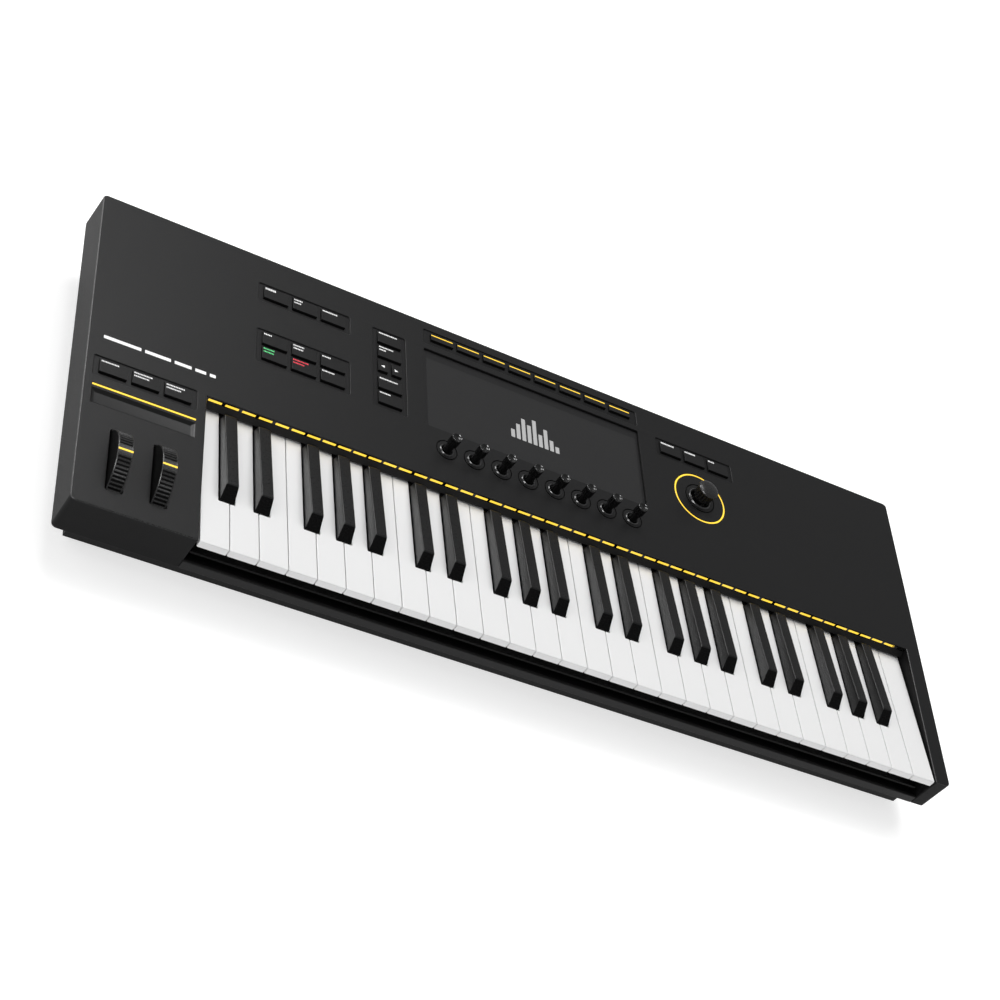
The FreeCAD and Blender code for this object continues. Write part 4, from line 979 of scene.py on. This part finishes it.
def make_knobs():
    flutes = 14
    profile = [
        (0.0, -4.6), (KNOB_STEM, -4.6), (KNOB_STEM, 1.6), (KNOB_NECK, 2.6), (KNOB_NECK, KNOB_SKIRT - 0.6),
        (KNOB_RADIUS - 0.35, KNOB_SKIRT), (KNOB_RADIUS, KNOB_SKIRT + 0.5), (KNOB_RADIUS, KNOB_TOP - 1.3),
        (KNOB_RADIUS - 0.1, KNOB_TOP - 0.8), (KNOB_RADIUS - 0.3, KNOB_TOP - 0.3), (KNOB_RADIUS - 0.6, KNOB_TOP),
        (KNOB_RADIUS - 1.0, KNOB_TOP - 0.35), (KNOB_RADIUS - 1.8, KNOB_TOP - 1.0), (0.0, KNOB_TOP - 1.3),
    ]
    # The rim band takes the second look, a painted highlight.
    looks = [0] * 9 + [1, 1] + [0] * 2
    ripple = fluted(flutes, 0.13)
    for number, x in enumerate(knob_centres(), start=1):
        solid = Solid()
        solid.lathe(x, KNOB_ROW, profile, looks, steps=flutes * 10, ripple=ripple)
        knob = f"knob_{number}"
        solid.piece(f"{knob}_grip", knob, [KNOB, KNOB_RIM_PAINTED_HIGHLIGHT], PANEL, [knob], sharp=38)


def make_collars():
    solid = Solid()
    low = -PANEL_THICK
    profile = [
        (COLLAR_RADIUS, low), (COLLAR_RADIUS, -0.15), (COLLAR_RADIUS - 0.1, 0.05), (COLLAR_RADIUS - 0.75, 0.65),
        (COLLAR_RADIUS - 0.95, 0.7), (COLLAR_BORE + 0.35, 0.2), (COLLAR_BORE, -0.4), (COLLAR_BORE, low),
    ]
    for x in knob_centres():
        solid.lathe(x, KNOB_ROW, profile, steps=48, closed=True)
    profile = [
        (NAV_COLLAR, low), (NAV_COLLAR, -0.15), (NAV_COLLAR - 0.15, 0.1), (NAV_COLLAR - 0.95, 0.85),
        (NAV_COLLAR - 1.2, 0.9), (NAV_BORE + 0.4, 0.2), (NAV_BORE, -0.6), (NAV_BORE, low),
    ]
    solid.lathe(NAV_GROUP, NAV_ROW, profile, steps=72, closed=True)
    solid.piece("knob_collar_rings", "housing", COLLAR, PANEL, ["knob_collars"], sharp=35)


def make_nav_encoder():
    flutes = 18
    top = NAV_TOP
    profile = [
        (0.0, 8.3), (4.6, 8.3), (4.6, 0.5), (NAV_STEM, 0.5), (NAV_STEM + 0.6, 2.2), (NAV_RADIUS - 1.2, NAV_SKIRT),
        (NAV_RADIUS - 0.5, NAV_SKIRT + 0.5), (NAV_RADIUS - 0.4, top - 4.2), (NAV_RADIUS - 0.5, top - 3.7),
        (NAV_CAP - 0.2, top - 3.5), (NAV_CAP, top - 3.2), (NAV_CAP, top - 2.6), (NAV_CAP - 0.2, top - 2.1),
        (NAV_CAP - 0.7, top - 1.6), (NAV_CAP - 1.6, top - 1.1), (NAV_CAP - 3.2, top - 0.55),
        (NAV_CAP - 6.0, top - 0.12), (0.0, top),
    ]
    # The cap's edge band takes the second look, a painted highlight.
    looks = [0] * 9 + [1] * 4 + [2] * 4
    solid = Solid()
    ripple = fluted(flutes, 0.14)
    solid.lathe(NAV_GROUP, NAV_ROW, profile, looks, steps=flutes * 10, ripple=ripple)
    looks = [GRIP, KNOB_RIM_PAINTED_HIGHLIGHT, KNOB_CROWN]
    solid.piece("encoder_grip", "encoder_knob", looks, PANEL, ["encoder_knob"], sharp=38)


def make_lenses():
    lens = Solid()
    half = RING_LIT / 2
    profile = [
        (RING_RADIUS - half, -RING_DEPTH), (RING_RADIUS + half, -RING_DEPTH), (RING_RADIUS + half, -0.2),
        (RING_RADIUS + half - 0.2, -0.05), (RING_RADIUS - half + 0.2, -0.05), (RING_RADIUS - half, -0.2),
    ]
    lens.lathe(NAV_GROUP, NAV_ROW, profile, steps=128, closed=True)
    left = STRIP_CENTRE - STRIP_WIDTH / 2 + LENS_CLEAR
    width = STRIP_WIDTH - LENS_CLEAR * 2
    front = LINE_ROW + (LINE_DEPTH - LINE_LIT) / 2
    lens.slab(rect(left, front, width, LINE_LIT, 0.3, 3), -0.05, -4.0, rim=0.15)
    loop = rect(left, LINE_ROW + LENS_CLEAR, width, LINE_DEPTH - LENS_CLEAR * 2, 0.3, 3)
    lens.slab(loop, -1.2, -4.1, rim=0.1, look=1)
    lens.piece("lit_ring_and_line", "housing", [LAMP, LAMP_OFF], PANEL, ["indicator_lenses"])

    strip = Solid()
    loop = rect(left, STRIP_ROW + LENS_CLEAR, width, STRIP_DEPTH - LENS_CLEAR * 2, 0.3, 3)
    lip = inset(loop, 0.15)
    floor = rect(left + 3.0, STRIP_ROW + 2.0, width - 6.0, STRIP_DEPTH - 4.0, 0.6, 3)
    rings = [strip.ring(loop, -5.0), strip.ring(loop, -0.3), strip.ring(lip, -0.15), strip.ring(floor, -2.4)]
    strip.skin(rings)
    strip.piece("touch_trough", "housing", STRIP, PANEL, ["touch_strip"], sharp=60)


# ---- the wheels

def make_wheels():
    rib = math.radians(5.8)
    index_angle = math.radians(5.2)
    clear = math.radians(8.7)

    def reach(angle, depth, base):
        """The rim's radius at an angle forward of the top."""
        away = abs((angle - index_angle + math.pi) % (2 * math.pi) - math.pi)
        if away < clear:
            return base
        phase = (away - clear) / rib
        return base - depth * (0.5 - 0.5 * math.cos(2 * math.pi * phase)) ** 0.7

    def vertex(solid, x, angle, radius):
        """A vertex on the wheel, at an angle forward of its top."""
        y = WHEEL_Y - radius * math.sin(angle)
        return solid.mesh.verts.new((x, y, -WHEEL_DROP + radius * math.cos(angle)))

    def turn(parts):
        return [2 * math.pi * part / parts for part in range(parts)]

    half = WHEEL_HALF
    rim = WHEEL_RADIUS
    stations = [(-half, rim - 0.9, 0.0), (-half + 0.2, rim - 0.25, 0.0), (-half + 0.5, rim - 0.05, 0.0),
                (-half + 0.95, rim - 0.05, 0.0), (-half + 1.2, rim - 0.15, 1.0), (0.0, rim - 0.10, 1.0)]
    stations += [(-x, base, depth) for x, base, depth in reversed(stations[:-1])]
    axle = ((-AXLE_HALF, 2.6), (-AXLE_HALF + 0.4, AXLE_RADIUS), (AXLE_HALF - 0.4, AXLE_RADIUS), (AXLE_HALF, 2.6))
    section = ((-5.55, rim - 0.4), (-5.55, rim - 0.02), (-5.2, rim + 0.04), (5.2, rim + 0.04), (5.55, rim - 0.02),
               (5.55, rim - 0.4))
    for name, centre in WHEELS.items():
        solid = Solid()
        # The wheel's flat flanks take the second look, a near-black painted shade.
        solid.skin([
            [vertex(solid, centre + x, angle, reach(angle, depth, base)) for angle in turn(496)]
            for x, base, depth in stations
        ], end_look=1)
        # So do the rib valleys: painted shade in the hollows.
        for face in solid.mesh.faces:
            middle = face.calc_center_median()
            angle = math.atan2(WHEEL_Y - middle.y, middle.z + WHEEL_DROP)
            if abs(middle.x - centre) < half - 1.1 and reach(angle, 1.0, 0.0) < -0.6:
                face.material_index = 1
        solid.skin([[vertex(solid, centre + x, -angle, radius) for angle in turn(32)] for x, radius in axle])
        solid.piece(f"{name}_rim", name, [WHEEL, WHEEL_PAINTED_SHADE], PANEL, [name], sharp=38)

        mark = Solid()
        angles = [index_angle + math.radians(INDEX_HALF * (step / 2 - 1)) for step in range(5)]
        mark.skin([[vertex(mark, centre + x, angle, radius) for x, radius in section] for angle in angles])
        mark.piece(f"{name}_index", name, LAMP)


# ---- feet and sockets

def make_feet():
    solid = Solid()
    profile = [(0.0, 5.0), (9.0, 5.0), (9.0, 1.0), (8.7, 0.35), (8.0, 0.0), (6.4, 0.0), (6.2, 0.5), (4.6, 0.5),
               (4.4, 0.0), (0.0, 0.0)]
    for x in (FOOT_INSET, CASE_WIDTH / 2, CASE_WIDTH - FOOT_INSET):
        for y in FOOT_ROWS:
            solid.lathe(x, y, profile, steps=48)
    solid.piece("rubber_feet_pads", "housing", RUBBER, LEVEL, ["rubber_feet"], sharp=50)


def lie_back(x, y, z):
    """Turns a piece made upright over (x, z) so that its height runs out of the back wall."""
    return x, CASE_DEPTH + z, y


def make_socket_details():
    nuts = Solid(lie_back)
    drop = -SOCKET_DROP
    lean_out = BACK_LEAN * SOCKET_DROP / SKIRT_BACK
    ring = [
        (JACK_HOLE, lean_out + 0.02), (6.9, lean_out + 0.02), (6.9, lean_out + 0.9), (6.5, lean_out + 1.3),
        (5.05, lean_out + 1.3), (5.05, lean_out + 0.4),
    ]
    for x in JACK_PLACES:
        nuts.lathe(x, drop, ring, steps=6, closed=True)
    nuts.piece("jack_nuts", "housing", NICKEL, sharp=30)
    pins = Solid(lie_back)
    profile = [(0.0, -7.5), (0.95, -7.5), (0.95, -3.2), (0.55, -3.0), (0.5, -5.5), (0.0, -5.6)]
    for x in DIN_PLACES:
        for angle in (180, 225, 270, 315, 360):
            across = DIN_PIN_CIRCLE * math.cos(math.radians(angle))
            up = DIN_PIN_CIRCLE * math.sin(math.radians(angle))
            pins.lathe(x + across, drop + up, profile, steps=14)
    tongue = rect(USB_PLACE - 3.2, drop - 0.45, 6.4, 0.9, 0.2, 2)
    pins.slab(tongue, -0.6, -6.0, rim=0.15, steps=2)
    pins.piece("socket_contacts", "housing", NICKEL)


# ---- the whole

make_top_case()
make_front_rail()
make_key_lights()
make_white_keys()
make_black_keys()
make_buttons()
make_stripe()
make_display()
make_knobs()
make_collars()
make_nav_encoder()
make_lenses()
make_wheels()
make_feet()
make_socket_details()

for subpart in frame["record"]["subparts"]:
    node_mesh = frame["nodes"][subpart["node"]].data
    node_mesh.materials.clear()
    node_mesh.materials.append(SLOT_LOOKS[subpart["material_slot"]])


# ---- floor, light and camera

def make_floor():
    """A plane 80 m wide, of a white that is lit and glows a little."""
    edge = 40.0
    data = bpy.data.meshes.new("floor")
    data.from_pydata([(-edge, -edge, 0), (edge, -edge, 0), (edge, edge, 0), (-edge, edge, 0)], [], [(0, 1, 2, 3)])
    floor = add_object("floor", data)
    look = bpy.data.materials.new("floor_white")
    look.use_nodes = True
    fill_in(look.node_tree.nodes["Principled BSDF"], Base_Color=(0.60, 0.60, 0.60, 1), Roughness=0.9,
            Specular_IOR_Level=0.1, Emission_Color=(1, 1, 1, 1), Emission_Strength=0.68)
    data.materials.append(look)


def make_light(name, place, aim, size, power, mirrored=True, lights=True):
    """An area light; it may be left out of reflections, or be seen only in them."""
    lamp = bpy.data.lights.new(name, "AREA")
    lamp.shape = "RECTANGLE"
    lamp.size, lamp.size_y = size
    lamp.energy = power
    item = add_object(name, lamp)
    item.location = place
    item.rotation_mode = "QUATERNION"
    item.rotation_quaternion = (Vector(aim) - Vector(place)).to_track_quat("-Z", "Y")
    item.visible_glossy = mirrored
    item.visible_diffuse = lights


def make_world(strength):
    world = bpy.data.worlds.new("studio")
    world.use_nodes = True
    fill_in(world.node_tree.nodes["Background"], Color=(1, 1, 1, 1), Strength=strength)
    bpy.context.scene.world = world


def make_camera():
    """A long lens from the front left, high up and turned about its own axis."""
    azimuth = math.radians(31.53)
    elevation = math.radians(36.02)
    roll = math.radians(-39.74)
    eye = Vector((-0.7435, -1.1613, 1.0407))
    flat = math.cos(elevation)
    away = Vector((math.sin(azimuth) * flat, math.cos(azimuth) * flat, -math.sin(elevation)))
    lens = bpy.data.cameras.new("camera")
    lens.sensor_width = 36.0
    lens.lens = 74.11
    lens.clip_start = 0.01
    item = add_object("camera", lens)
    item.location = eye
    item.rotation_mode = "QUATERNION"
    level = away.to_track_quat("-Z", "Y").to_matrix()
    item.rotation_quaternion = (Matrix.Rotation(roll, 3, away) @ level).to_quaternion()
    bpy.context.scene.camera = item


make_floor()
make_world(0.30)
make_light("left_softbox", (-2.0, -0.3, 1.3), (0, 0, 0), (1.4, 1.2), 9)
make_light("front_reflector", (-0.9, -0.6, 1.6), (-0.1, 0, 0), (0.7, 0.7), 22, lights=False)
make_light("low_left_reflector", (-1.3, 1.35, 1.1), (0, 0, 0), (0.9, 0.7), 20, lights=False)
make_light("back_left_softbox", (-0.4, 1.2, 2.0), (-0.3, 0, 0), (1.0, 1.0), 22)
make_light("back_right_softbox", (1.1, 1.1, 2.5), (0, 0, 0), (1.6, 1.6), 48, mirrored=False)
make_camera()
bpy.context.scene.view_settings.view_transform = "Standard"
